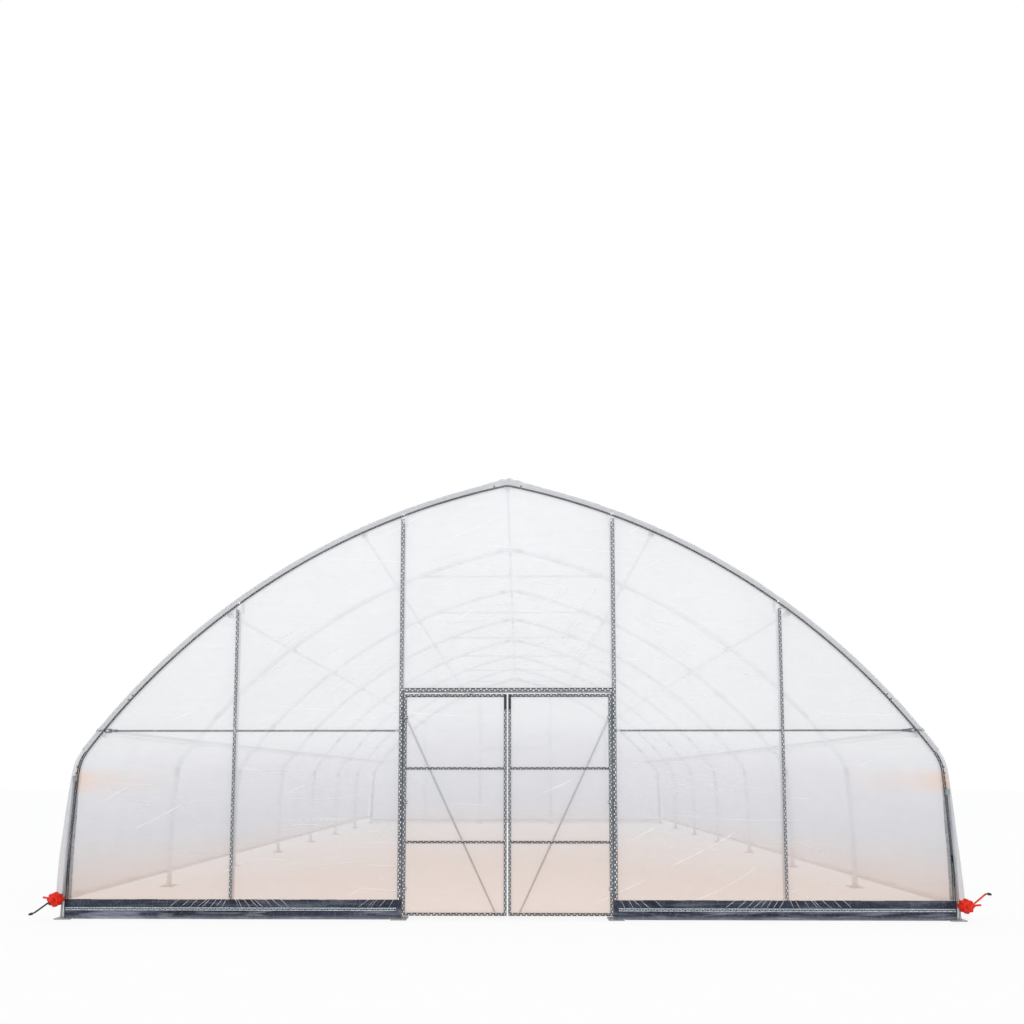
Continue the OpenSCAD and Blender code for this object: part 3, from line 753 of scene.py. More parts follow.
def grid(columns, rows, place):
    """A sheet whose points go where place says, given their shares across and up."""
    mesh_data = bmesh.new()
    bmesh.ops.create_grid(mesh_data, x_segments=columns, y_segments=rows, size=1.0)
    for vertex in mesh_data.verts:
        vertex.co = place((vertex.co.x + 1.0) / 2.0, (vertex.co.y + 1.0) / 2.0)
    bmesh.ops.recalc_face_normals(mesh_data, faces=mesh_data.faces)
    return mesh_data


def film_piece(name, mesh_data, finish, body=TUNNEL):
    return piece(name, mesh_data, finish, body, smooth=True)


def face_along(mesh_data, out):
    """Turns a flat sheet so that its faces look along -Y or +Y."""
    if sum(face.normal.y * face.calc_area() for face in mesh_data.faces) * out < 0:
        bmesh.ops.reverse_faces(mesh_data, faces=mesh_data.faces)
    return mesh_data


def roof_sheet():
    """The roof film, from curb to curb, with a dip between the hoops."""
    sizes = film_sizes()
    right = list(hoop_walk(12.0, HOOP_R + sizes.gap, CURB_ALONG))
    walk = right + [(-x, z, 180.0 - lean) for x, z, lean in reversed(right[:-1])]
    start, length = FRONT_Y - FILM_FRONT, REAR_Y - FRONT_Y + 2 * FILM_FRONT

    def place(across, up):
        x, z, lean = walk[round(across * (len(walk) - 1))]
        y = start + length * up
        dip = dip_between_hoops(y)
        wave = soft(x, y * 0.35, z, 1.6) * 0.006 + soft(x * 2.0, y, z, 3.4) * 0.0025
        lift = wave * min(1.0, dip * 1.6) - sizes.sag * dip
        a = math.radians(lean)
        return x + lift * math.cos(a), y, z + lift * math.sin(a)

    made = film_piece("roof_sheet", grid(len(walk) - 1, 168, place), "roof_film")
    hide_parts("roof_film")


def curtain_sheet(side):
    """Side curtain: clamped at the curb, bellied out a little, wound on the roll pipe."""
    sizes, name = film_sizes(), SIDES[side]
    pipe_x, bottom = abs(CRANK[side].x), CRANK[side].z
    pipe_r = PIPE_R + sizes.roll_layers
    reach = pipe_x + pipe_r - HALF_W - HOOP_R
    bulge = sizes.curtain_bulge * (1.25 if side < 0 else 0.75)
    start, length = FRONT_Y - FILM_BACK, REAR_Y - FRONT_Y + 2 * FILM_BACK
    turns = [math.radians(degrees) for degrees in range(-180, 1, 30)]
    walk = [(pipe_x + pipe_r * math.cos(a), bottom + pipe_r * math.sin(a)) for a in turns]
    leg = hoop_walk(14.0, HOOP_R + sizes.gap, 0.0, CURB_ALONG)
    walk += [(x, z) for x, z, _ in leg if z > bottom + 0.05]
    top = walk[-1][1]

    def place(across, up):
        x, z = walk[round(across * (len(walk) - 1))]
        x, y = side * x, start + length * up
        if z <= bottom + 0.04:
            return x, y, z + soft(x * 4, y, z * 4, 5.0) * 0.002
        rise = (z - bottom) / (top - bottom)
        belly = math.sin(math.pi * min(1.0, rise * 1.12) ** 0.75) if rise < 0.9 else 0.0
        loose = 0.55 + 0.45 * soft(0.0, y * 0.23, side, 1.0)
        fold = soft(0.3, y, z * 0.35, 2.6) * 0.012 + soft(0.7, y * 3.0, z, 3.0) * 0.004
        push = max(0.0, belly * (bulge * loose + fold))
        lower = max(0.0, 1.0 - rise * 2.2)
        return x + side * (push + reach * lower ** 1.4), y, z

    mesh_data = grid(len(walk) - 1, 196, place)
    made = film_piece(f"{name}_curtain_sheet", mesh_data, "side_film")
    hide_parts(f"{name}_curtain")


def outline_walk(x_start):
    """Points (x, z) of the hoop's outer edge from x_start out and down to the leg's foot."""
    lean_start = min(lean_at(max(x_start, 0.04)), LEAN["ridge"])
    stretches = ((RAFTER, lean_start, 0, 46), (SHOULDER, SHOULDER.end, 1, 8), (LEG, LEG.end, 1, 8))
    return [
        arc.point(lean + (arc.start - lean) * k / count, HOOP_R)
        for arc, lean, first, count in stretches
        for k in range(first, count + 1)
    ]


def gable_relief(x, z, seed):
    """How far the end film stands in or out at a place, in metres."""
    wave = soft(x * 0.8, seed, z * 1.9, 1.5) + 0.5 * soft(x * 1.6, seed + 4.0, z * 4.5, 2.1)
    return film_sizes().ripple * wave


def gable_panel(side, x_in, out):
    """A panel of end film between an upright at x_in and the hoop, and its outline."""
    outline = outline_walk(x_in)
    face_y = END_Y[out] + out * FILM_BACK
    seed = side + (7 if out > 0 else 0)

    def place(across, up):
        column = round(across * (len(outline) - 1))
        x, top = outline[column]
        x = x if column else x_in
        z = SKIRT_TOP + (top - SKIRT_TOP) * up
        edge = min(1.0, (x - x_in) * 6, (top - z) * 5, (z - SKIRT_TOP) * 8 + 0.12)
        edge *= min(1.0, abs(x - MID_X) * 6 + 0.05, abs(z - GIRT_Z) * 8 + 0.4)
        relief = gable_relief(x * side, z, seed) * max(0.0, edge)
        return side * x, face_y + out * (0.002 + relief * 0.8 + abs(relief) * 0.2), z

    return grid(len(outline) - 1, 60, place), outline


def panel_area(outline):
    steps = zip(outline, outline[1:])
    return sum((x1 - x0) * ((z0 + z1) / 2 - SKIRT_TOP) for (x0, z0), (x1, z1) in steps)


def gable_sheet(side):
    """The end film between a door post and the hoop."""
    name = SIDES[side]
    mesh_data, outline = gable_panel(side, POST_X, -1)
    made = film_piece(f"front_{name}_sheet", face_along(mesh_data, -1), "gable_film")
    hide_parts(f"front_{name}_film")
    panel_area(outline)


def over_door_sheet():
    """The film between header and hoop, a little crinkled on the right."""
    columns = 60
    crinkle_x, crinkle_z, crinkle_r = 0.75, 3.05, 0.8

    def place(across, up):
        x = (2.0 * across - 1.0) * POST_X
        top = top_edge(abs(x))
        z = HEADER_Z + (top - HEADER_Z) * up
        edge = min(1.0, (POST_X - abs(x)) * 6, (top - z) * 5, (z - HEADER_Z) * 6)
        near = max(0.0, 1.0 - math.hypot(x - crinkle_x, z - crinkle_z) / crinkle_r)
        relief = gable_relief(x, z, 3) * max(0.0, edge) * (1.0 + 1.4 * near)
        return x, FRONT_Y - FILM_BACK - 0.002 - relief, z

    mesh_data = face_along(grid(columns, 56, place), -1)
    made = film_piece("over_door_sheet", mesh_data, "gable_film")
    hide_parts("over_door_film")
    middles = (POST_X * (2 * k + 1 - columns) / columns for k in range(columns))
    area = sum((top_edge(abs(x)) - HEADER_Z) * 2 * POST_X / columns for x in middles)


def rear_sheet():
    """One sheet closes the whole rear end."""
    joined = bmesh.new()
    for side in SIDES:
        half, outline = gable_panel(side, 0.0, 1)
        mesh = bpy.data.meshes.new("rear_half")
        half.to_mesh(mesh)
        half.free()
        joined.from_mesh(mesh)
        bpy.data.meshes.remove(mesh)
    bmesh.ops.remove_doubles(joined, verts=joined.verts, dist=0.002)
    bmesh.ops.recalc_face_normals(joined, faces=joined.faces)
    made = film_piece("rear_sheet", face_along(joined, 1), "rear_film")
    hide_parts("rear_film")
    2 * panel_area(outline)


def leaf_sheet(side):
    """The film of a door leaf."""
    name = SIDES[side]
    low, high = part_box(f"{name}_leaf_film")
    width, height = high.x - low.x, high.z - low.z

    def place(across, up):
        x, z = low.x + width * across, low.z + height * up
        edge = min(1.0, (x - low.x) * 9, (high.x - x) * 9, (z - low.z) * 9, (high.z - z) * 9)
        return x, high.y - 0.002 - gable_relief(x, z, 11) * 0.7 * max(0.0, edge), z

    mesh_data = face_along(grid(36, 72, place), -1)
    made = film_piece(f"{name}_leaf_sheet", mesh_data, "leaf_film", f"{name}_leaf")
    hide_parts(f"{name}_leaf_film")


def skirt_sheet(name, x0, x1, out, node):
    """Strip along the ground from x0 to x1, pulled into shallow slanting folds."""
    face_y = END_Y[out] + out * FILM_BACK
    plate_half = 0.081

    def place(across, up):
        x = x0 + (x1 - x0) * across
        from_foot = min(abs(abs(x) - HALF_W), abs(abs(x) - POST_X))
        floor = FOOT_TOP + 0.001 if from_foot < plate_half else 0.0005
        z = floor + (SKIRT_TOP + 0.004 - floor) * up
        spread = (x - math.copysign(MID_X, x)) * (0.5 + 1.2 * up)
        fan = 0.5 * math.exp(-abs(spread) * 3.0) * math.sin(spread * 46.0)
        fold = (fan + soft(x * 2.4, 2.0, z * 3.0, 2.2)) * 0.004 * min(1.0, up * 3)
        return x, face_y + out * (0.002 + max(-0.001, fold)), z

    mesh_data = face_along(grid(max(20, round(abs(x1 - x0) * 40)), 14, place), out)
    finish, slot, rail = {
        -1: ("skirt", "dark_skirt", "front_base_rails"), 1: ("rear_film", "film", "rear_rails"),
    }[out]
    made = film_piece(name, mesh_data, finish)
    if node:
        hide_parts(node)


def fold(mesh_data, x, z, angle, length, width):
    """A sharp crease in the film: a thin ridge that runs out to nothing at both ends."""
    made = bmesh.ops.create_grid(mesh_data, x_segments=8, y_segments=2, size=1.0)["verts"]
    bend = random.uniform(-0.06, 0.06)
    along = Vector((math.cos(angle), 0, math.sin(angle)))
    across = Vector((-math.sin(angle), 0, math.cos(angle)))
    foot = Vector((x, FRONT_Y - FILM_BACK - 0.0057, z))
    for vertex in made:
        share, off = (vertex.co.x + 1) / 2, vertex.co.y
        taper = math.sin(math.pi * min(1.0, share * 0.92 + 0.08)) ** 0.7
        curve = bend * length * math.sin(math.pi * share) + off * width / 2 * taper
        lift = FORWARD * (1 - abs(off)) * 0.004 * taper
        vertex.co = foot + along * length * share + across * curve + lift


# Where the end film is creased: middle x and z, spread in x and z, least and greatest
# angle, number of creases, shortest and longest crease, and width.
CREASES = (
    (-2.0, 1.05, 0.75, 0.50, -5, 6, 12, 0.30, 1.15, 0.006),
    (-3.4, 1.00, 0.50, 0.45, -9, 8, 5, 0.20, 0.60, 0.005),
    (1.75, 1.10, 0.45, 0.50, -38, -14, 10, 0.15, 0.60, 0.006),
    (2.0, 1.60, 0.60, 0.20, -6, 6, 4, 0.30, 0.80, 0.005),
    (3.6, 0.60, 0.50, 0.25, -32, -18, 4, 0.20, 0.70, 0.005),
    (0.72, 3.05, 0.32, 0.42, 38, 66, 22, 0.10, 0.50, 0.007),
    (0.80, 2.60, 0.25, 0.15, -8, 25, 7, 0.10, 0.35, 0.006),
    (-0.1, 3.4, 0.75, 0.60, -12, 10, 6, 0.20, 0.60, 0.005),
    (-1.9, 2.7, 0.60, 0.40, 15, 40, 7, 0.15, 0.60, 0.005),
    (2.0, 2.7, 0.60, 0.40, -40, -12, 7, 0.15, 0.60, 0.005),
    (0.75, 0.50, 0.25, 0.30, -30, -12, 6, 0.10, 0.35, 0.005),
    (-0.6, 1.75, 0.35, 0.30, -10, 30, 4, 0.10, 0.30, 0.004),
)
# Where the film is pulled into the skirt: post, way along X, number of creases and reach.
PULLS = ((MID_X, -1, 8, 0.62), (MID_X, 1, 8, 0.62), (POST_X + 0.03, 1, 5, 0.42))


def gable_folds():
    """Creases where the end film is pulled: along the panels and round the post feet."""
    random.seed(21)
    panels, pulled = bmesh.new(), bmesh.new()
    for x, z, wide, high, low_a, high_a, count, shortest, longest, width in CREASES:
        for _ in range(count):
            length = random.uniform(shortest, longest)
            angle = math.radians(random.uniform(low_a, high_a))
            x0 = x + random.uniform(-wide, wide) - math.cos(angle) * length / 2
            z0 = z + random.uniform(-high, high) - math.sin(angle) * length / 2
            in_doorway = abs(x0) < 1.05 and z0 < HEADER_Z
            length = clear_of_posts(x0, angle, length)
            if length > 0.08 and not in_doorway:
                fold(panels, x0, z0, angle, length, width)
    for side in SIDES:
        for post_x, way, count, reach in PULLS:
            for k in range(count):
                away = 0.05 + reach * ((k + random.uniform(0.1, 0.9)) / count) ** 1.2
                near = max(0.0, 1.0 - away / reach)
                slope = math.radians(random.uniform(33.0, 44.0) + 32.0 * near ** 2)
                angle = math.pi - slope if way * side > 0 else slope
                foot = SKIRT_TOP - 0.075 + random.uniform(-0.005, 0.005)
                length = random.uniform(0.085, 0.16) / math.sin(slope)
                fold(pulled, side * (post_x + way * away), foot, angle, length, 0.0045)
    film_piece("skirt_folds", pulled, "pulled_crease")
    film_piece("gable_folds", panels, "crease")


def clear_of_posts(x, angle, length):
    """Length of a crease that stops at the next upright."""
    for upright in (-MID_X, -POST_X, POST_X, MID_X):
        if x < upright < x + math.cos(angle) * length:
            length = (upright - 0.03 - x) / math.cos(angle)
    return length


# ---------------------------------------------------------------------------
# Clamping channels and zigzag wire
# ---------------------------------------------------------------------------


def run_axes(start, end, out):
    """The unit directions across, out of and along a run."""
    out = Vector(out).normalized()
    along = (end - start).normalized()
    return along.cross(out), out, along


def channel_run(lips, inside, start, end, out, width, depth):
    """A lipped channel from start to end whose open side looks along out."""
    sizes = metal_sizes()
    axes = run_axes(start, end, out)
    place = Matrix.Translation(start) @ Matrix(axes).transposed().to_4x4()
    wall, half, length = 0.0016, width / 2, (end - start).length
    lip = sizes.channel_lip * width / sizes.channel_w
    parts = (
        (lips, -half, -half + wall, 0.0, depth),
        (lips, half - wall, half, 0.0, depth),
        (lips, -half, -half + lip, depth - wall, depth),
        (lips, half - lip, half, depth - wall, depth),
        (inside, -half + wall, half - wall, 0.0, depth * 0.35),
    )
    for mesh_data, left, right, back, front in parts:
        verts = add_box(mesh_data, (left, back, 0.0), (right, front, length))
        bmesh.ops.transform(mesh_data, matrix=place, verts=verts)


def channel_piece(name, mesh_data, finish, body=TUNNEL):
    bmesh.ops.recalc_face_normals(mesh_data, faces=mesh_data.faces)
    return piece(name, mesh_data, finish, body)


def channel_pieces(name, lips, inside, body=TUNNEL):
    """The lips and the inside, painted dark as shade, of a group of channels, as two pieces."""
    channel_piece(f"{name}_channel_insides", inside, "channel_inside", body)
    return channel_piece(f"{name}_clamping_channels", lips, "channel", body)


def swing(k):
    """Where a zigzag with six points to a turn is, across its channel, -1 to 1."""
    return max(-1.0, min(1.0, 1.35 * math.sin(2 * math.pi * k / 6)))


def zigzag(start, end, out, lift, width):
    """Places of a straight zigzag wire, held above start and end by lift."""
    across, out, along = run_axes(start, end, out)
    length = (end - start).length
    steps = max(6, round(length / metal_sizes().wire_pitch * 6))
    return [
        start + along * (length * k / steps) + across * width * swing(k) + out * lift
        for k in range(steps + 1)
    ]


def puckers(mesh_data, start, end, out, lift, width):
    """Film bunched up on alternate sides of the wire along one channel."""
    across, out, along = run_axes(start, end, out)
    turn = Matrix((across, along, out)).transposed().to_4x4()
    step = metal_sizes().wire_pitch / 2
    for k in range(int((end - start).length / step)):
        side = 1 if k % 2 else -1
        place = start + along * step * (k + 0.5) + across * side * width * 0.25 + out * lift
        grown = 1.0 + 0.22 * soft(*place, 9.0)
        size = Matrix.Diagonal((width * 0.24 * grown, step * 0.46 * grown, 0.0045, 1.0))
        bmesh.ops.create_cone(
            mesh_data, cap_ends=True, segments=6, radius1=1.0, radius2=0.45, depth=1.0,
            matrix=Matrix.Translation(place) @ turn @ size,
        )


def wire_piece(name, runs, finish="wire", body=TUNNEL):
    """The zigzag wires of one group, each a list of places, as one piece."""
    curve = bpy.data.curves.new(name, "CURVE")
    curve.dimensions = "3D"
    curve.bevel_depth = metal_sizes().wire_d / 2
    curve.bevel_resolution = 0
    curve.use_fill_caps = True
    for places in runs:
        spline = curve.splines.new("POLY")
        spline.points.add(len(places) - 1)
        for point, place in zip(spline.points, places):
            point.co = (*place, 1.0)
    placed(name, curve, finish, body)


def end_channel_lines():
    """Ends as (x, z), width and kind of every straight channel on an end frame."""
    width = metal_sizes().channel_w
    top = hoop_height(POST_X) - HOOP_R - 0.03
    mid_top = hoop_height(MID_X) - HOOP_R - 0.05
    girt_half = 0.014
    for side in SIDES:
        post, mid = side * POST_X, side * MID_X
        yield (post, SKIRT_TOP), (post, top), width, "post"
        yield (mid, SKIRT_TOP), (mid, GIRT_Z - girt_half), width * 0.8, "post"
        yield (mid, GIRT_Z + girt_half), (mid, mid_top), width * 0.8, "post"
        inner, outer = side * (POST_X + POST_W / 2), side * (HALF_W - 0.02)
        yield (inner, BASE_LINE), (outer, BASE_LINE), width * 0.9, "base"
    header = middle("door_header").z
    yield (-POST_X + width / 2, header), (POST_X - width / 2, header), width, "bar"


def end_channels(out):
    """Channels, bunched film and wires on the frame of one end."""
    name, depth, facing = ENDS[out], metal_sizes().channel_d, Vector((0, out, 0))
    lips, inside, bunched, bright = (bmesh.new() for _ in range(4))
    # Rims by kind: the base in the metal painted lighter, the header bar in the inside metal painted dark
    # as shade, the posts in the lips.
    rims = {"base": bright, "bar": inside, "post": lips}
    base_y = END_Y[out] + out * (FILM_BACK + 0.003)
    frame_y = END_Y[out] + out * (FILM_BACK + 0.006 - depth)
    runs, pale_runs = [], []
    for (x0, z0), (x1, z1), width, kind in end_channel_lines():
        y = base_y if kind == "base" else frame_y
        start, end = Vector((x0, y, z0)), Vector((x1, y, z1))
        channel_run(rims[kind], inside, start, end, facing, width, depth)
        wire = zigzag(start, end, facing, depth * 0.82, width / 2 - 0.006)
        if kind == "base":
            pale_runs.append(wire)
        else:
            runs.append(wire)
            puckers(bunched, start, end, facing, depth, width)
    if out > 0:
        x = POST_X - 0.03
        start, end = Vector((-x, base_y, BASE_LINE)), Vector((x, base_y, BASE_LINE))
        channel_run(lips, inside, start, end, facing, metal_sizes().channel_w, depth)
    made = channel_pieces(name, lips, inside)
    piece(f"{name}_puckers", bunched, "pucker")
    channel_piece(f"{name}_base_channel", bright, "base_channel")
    wire_piece(f"{name}_base_wires", pale_runs, "pale_wire")
    if out < 0:
        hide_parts("front_channels")
    wire_piece(f"{name}_zigzag_wires", runs)


def hoop_wire(out):
    """Zigzag wire that clamps the film along the inner edge of an end hoop."""
    face = END_Y[out] + out * (FILM_FRONT + 0.001)
    runs = []
    for side in SIDES:
        places = []
        walk = hoop_walk(6 / metal_sizes().wire_pitch, -CLAMP_IN, 0.35)
        for k, (x, z, lean) in enumerate(walk):
            a, off = math.radians(lean), swing(k) * 0.006
            places.append((side * (x + off * math.cos(a)), face, z + off * math.sin(a)))
        runs.append(places)
    wire_piece(f"{ENDS[out]}_hoop_wire", runs)


def spin_on_hoop(mesh_data, side, y, section, arcs, drop=0.0):
    """Carries a closed section round the arcs of a hoop. The section is a list of
    (distance out from the centre line, distance along Y); arcs are (arc, steps), and
    drop is the length of a straight part below the first arc."""
    verts = []
    for away, deep in section:
        x, z = arcs[0][0].point(arcs[0][0].start, away)
        verts.append(mesh_data.verts.new((side * x, y + deep, z - drop)))
    edges = [mesh_data.edges.new((verts[k - 1], verts[k])) for k in range(len(verts))]
    mesh_data.faces.new(verts)
    if drop:
        grown = bmesh.ops.extrude_edge_only(mesh_data, edges=edges)["geom"]
        verts = of_kind(grown, bmesh.types.BMVert)
        edges = [e for e in of_kind(grown, bmesh.types.BMEdge) if set(e.verts) <= set(verts)]
        bmesh.ops.translate(mesh_data, vec=(0, 0, drop), verts=verts)
    for arc, steps in arcs:
        turned = bmesh.ops.spin(
            mesh_data, geom=verts + edges, cent=(side * arc.x, 0, arc.z), axis=(0, -side, 0),
            angle=math.radians(arc.end - arc.start), steps=steps,
        )["geom_last"]
        verts = of_kind(turned, bmesh.types.BMVert)
        edges = of_kind(turned, bmesh.types.BMEdge)


def hoop_strip(out):
    """Narrow channel along the inner edge of an end hoop, in the inside metal painted dark as shade under
    the tube, and the doubled film edge in a grey painted as shade.
    """
    name, face = ENDS[out], END_Y[out] + out * (FILM_BACK - 0.004)
    width, depth, lip, floor = 0.016, 0.010, 0.28, 0.4
    outline = ((-0.5, 0), (0.5, 0), (0.5, 1), (lip, 1), (lip, floor), (-lip, floor), (-lip, 1), (-0.5, 1))
    section = [(across * width - CLAMP_IN, out * deep * depth) for across, deep in outline]
    wide = [(away * 1.75 + HOOP_R * 0.60, deep) for away, deep in section]
    edge_off, edge_w, edge_back, edge_front = 0.004, 0.036, 0.0095, 0.0108
    corners = ((0, edge_back), (edge_w, edge_back), (edge_w, edge_front), (0, edge_front))
    band = [(-HOOP_R - edge_off - inward, out * deep) for inward, deep in corners]
    strip, doubled = bmesh.new(), bmesh.new()
    straight, taper_z = 0.09, 0.95
    for side in SIDES:
        spin_on_hoop(strip, side, face, wide, ((LEG, 10), (SHOULDER, 14)), straight)
        spin_on_hoop(strip, side, face, section, ((RAFTER, 44), (RIDGE, 6)))
        spin_on_hoop(doubled, side, face, band, ((LEG, 10),), straight)
    for vertex in doubled.verts:
        x, _, z = vertex.co
        off = LEG.radius - math.hypot(abs(x) - LEG.x, max(0.0, z - LEG.z)) - HOOP_R - edge_off
        rise = max(0.0, min(1.0, (z - taper_z) / (LEG.point(LEAN["leg"])[1] - taper_z)))
        vertex.co.x += math.copysign(off * rise ** 2 * (3 - 2 * rise), x)
    outward(strip)
    outward(doubled)
    # Both pieces are painted shade: a grey film edge and a dark strip along the hoop's underside.
    film_piece(f"{name}_hoop_strip_film_edge", doubled, "edge_film")
    piece(f"{name}_hoop_strip", strip, "channel_inside")


def roof_hem(out):
    """The loose edge of the roof film, rolled over the end hoop and bunched at the ridge, in a grey
    painted with shade.
    """
    y = END_Y[out] + out * 0.026
    radius, sides, bunch_w = 0.011, 10, 0.24
    turns = [2 * math.pi * k / sides for k in range(sides)]
    section = [
        (HOOP_R + radius * (0.2 + math.sin(a)), radius * 1.25 * math.cos(a)) for a in turns
    ]
    mesh_data = bmesh.new()
    for side in SIDES:
        spin_on_hoop(mesh_data, side, y, section, ((RAFTER, 150), (RIDGE, 16)))
    outward(mesh_data)
    for vertex in mesh_data.verts:
        x, _, z = vertex.co
        off = z - top_edge(abs(x)) if abs(x) < POST_X else 0.0
        bunch = math.exp(-((x / bunch_w) ** 2)) * (0.021 + 0.007 * math.sin(x * 61.0))
        loose = 0.003 * soft(x, y, z, 11.0) + 0.0015 * soft(x, y, z, 40.0)
        vertex.co.z += loose + (bunch if off > -0.004 else 0.0)
        vertex.co.x += loose * 0.5
    film_piece(f"{ENDS[out]}_roof_hem", mesh_data, "rolled_hem")


def curb_channels():
    """Channels along both curbs that clamp the roof film and the curtain tops."""
    width, a = metal_sizes().channel_w, math.radians(LEAN["curb"])
    lips, inside, bunched = (bmesh.new() for _ in range(3))
    x, z = RAFTER.point(LEAN["curb"], HOOP_R + 0.003)
    runs = []
    for side in SIDES:
        out = Vector((side * math.cos(a), 0.0, math.sin(a)))
        start = Vector((side * x, FRONT_Y - FILM_FRONT, z))
        end = Vector((side * x, REAR_Y + FILM_FRONT, z))
        channel_run(lips, inside, start, end, out, width, 0.010)
        puckers(bunched, start, end, out, 0.009, width)
        runs.append(zigzag(start, end, out, 0.009, 0.010))
    channel_pieces("curb", lips, inside)
    piece("curb_puckers", bunched, "pucker")
    wire_piece("curb_wires", runs, "pale_wire")


def leaf_channels(side):
    """Channels and wires round a door leaf and along its cross bars."""
    name = SIDES[side]
    body = f"{name}_leaf"
    low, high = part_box(f"{name}_leaf_film")
    width, depth, y = metal_sizes().leaf_channel_w, 0.012, high.y + 0.004
    half = width / 2 + 0.002
    x0, x1, z0, z1 = low.x + half, high.x - half, low.z + half, high.z - half
    lines = [((x, low.z + 0.002), (x, high.z - 0.002), width) for x in (x0, x1)]
    lines += [((x0 + half, z), (x1 - half, z), width) for z in (z0, z1)]
    lines += [((x0 + half, z), (x1 - half, z), width * 0.8) for z in LEAF_BARS]
    lips, inside, bunched, hems = (bmesh.new() for _ in range(4))
    runs = []
    lock_x = x0 if side > 0 else x1
    for (xa, za), (xb, zb), wide in lines:
        start, end = Vector((xa, y, za)), Vector((xb, y, zb))
        level = za == zb
        # Level bars are all in the inside metal, painted dark as shade.
        channel_run(inside if level else lips, inside, start, end, FORWARD, wide, depth)
        # Painted highlight: a thin white film strip along the top edge of the bottom rail and each cross
        # bar.
        if level and za != z1:
            add_box(hems, (xa, y - 0.004, za + wide / 2), (xb, y, za + wide / 2 + 0.007))
        stop = end
        if xa == xb == lock_x:
            stop = end - UP * LOCK_PLATE
            corner = Vector((wide / 2, 0.001, 0))
            plate = y - 0.0125
            add_box(inside, Vector((xa, plate, stop.z)) - corner, Vector((xa, plate, end.z)) + corner)
        puckers(bunched, start, stop, FORWARD, depth, wide)
        runs.append(zigzag(start, stop, FORWARD, 0.010, wide / 2 - 0.005))
    channel_pieces(body, lips, inside, body)
    piece(f"{body}_puckers", bunched, "pucker", body)
    piece(f"{body}_hems", hems, "hem", body)
    wire_piece(f"{body}_wires", runs, body=body)


# ---------------------------------------------------------------------------
# Fittings on the hoops and posts
# ---------------------------------------------------------------------------


def runner_places():
    """(x, z, lean) of the centre of every runner, on both sides."""
    drop = -HOOP_R - 0.0003 - RUNNER_R
    places = []
    for node in ("upper_purlins", "lower_purlins", "shoulder_rails"):
        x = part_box(node)[1].x - RUNNER_R
        lean = math.degrees(math.acos((x - RAFTER.x) / (RAFTER.radius + drop)))
        px, pz = RAFTER.point(lean, drop)
        places += [(px, pz, lean), (-px, pz, 180.0 - lean)]
    return places + [(0.0, middle("ridge_purlin").z, 90.0)]


def purlin_clamps():
    """Two cheeks, a strap under and a bolt where a runner crosses a hoop."""
    mesh_data = bmesh.new()
    for y in HOOP_YS:
        inward = 1 if y < 0 else -1
        for x, z, lean in runner_places():
            centre, turn = Vector((x, y, z)), Matrix.Rotation(math.radians(90 - lean), 4, "Y")
            for shift in (-0.022, 0.022):
                cheek = centre + turn @ Vector((shift, 0, 0)) + UP * 0.008
                add_block(mesh_data, cheek, (0.003, 0.040, 0.032), turn)
            under = turn @ Vector((0, 0, -0.019))
            add_block(mesh_data, centre + under, (0.026, 0.022, 0.002), turn)
            bolt(mesh_data, centre - FORWARD * inward * 0.036 + under * 0.2, turn @ -UP)
    bevel(mesh_data, 0.0012)
    piece("purlin_clamps", mesh_data, "zinc")


def tube_sleeve(mesh_data, arc, lean, length, y, side):
    """A sleeve round the hoop tube at a lean; gives its middle and the way along it."""
    a = math.radians(lean)
    x, z = arc.point(lean)
    centre, along = Vector((side * x, y, z)), Vector((-math.sin(a) * side, 0, math.cos(a)))
    add_stub(mesh_data, centre, along, -length / 2, length / 2, HOOP_R + 0.0016, 28)
    return centre, along


def hoop_splices():
    """Sleeves where leg, shoulder and rafter join, and the ridge connector."""
    sleeves, bolts = bmesh.new(), bmesh.new()
    face = FORWARD * (HOOP_R + 0.001)
    splice = math.degrees(math.asin((SPLICE_Z - RAFTER.z) / RAFTER.radius))
    for y in HOOP_YS:
        for side in SIDES:
            for arc, lean in ((LEG, LEAN["leg"]), (RAFTER, splice)):
                centre, along = tube_sleeve(sleeves, arc, lean, 0.11, y, side)
                for shift in (-0.032, 0.032):
                    bolt(bolts, centre + along * shift + face, FORWARD, 0.011)
            centre, _ = tube_sleeve(sleeves, RAFTER, LEAN["ridge"] - 0.9, 0.12, y, side)
            bolt(bolts, centre + face, FORWARD, 0.012)
    bevel(sleeves, 0.0008)
    piece("hoop_splices", sleeves, "zinc")
    piece("splice_bolts", bolts, "dull_steel")


def foot_fittings():
    """Welded collars and anchor bolts on every foot plate."""
    collars, bolts = bmesh.new(), bmesh.new()
    half = POST_W / 2 + 0.003
    legs = [Vector((side * HALF_W, y, FOOT_TOP)) for y in HOOP_YS for side in SIDES]
    posts = [Vector((side * POST_X, y, FOOT_TOP)) for y in END_Y.values() for side in SIDES]
    for foot in legs + posts:
        for shift in (-0.06, 0.06):
            bolt(bolts, foot + Vector((shift, 0, 0)), UP, 0.013)
    for foot in legs:
        add_stub(collars, foot, UP, 0.0, 0.055, HOOP_R + 0.004, 28)
    for foot in posts:
        add_block(collars, foot + UP * 0.015, (half, half, 0.015))
    bevel(collars, 0.002)
    piece("foot_collars", collars, "zinc")
    piece("anchor_bolts", bolts, "zinc")


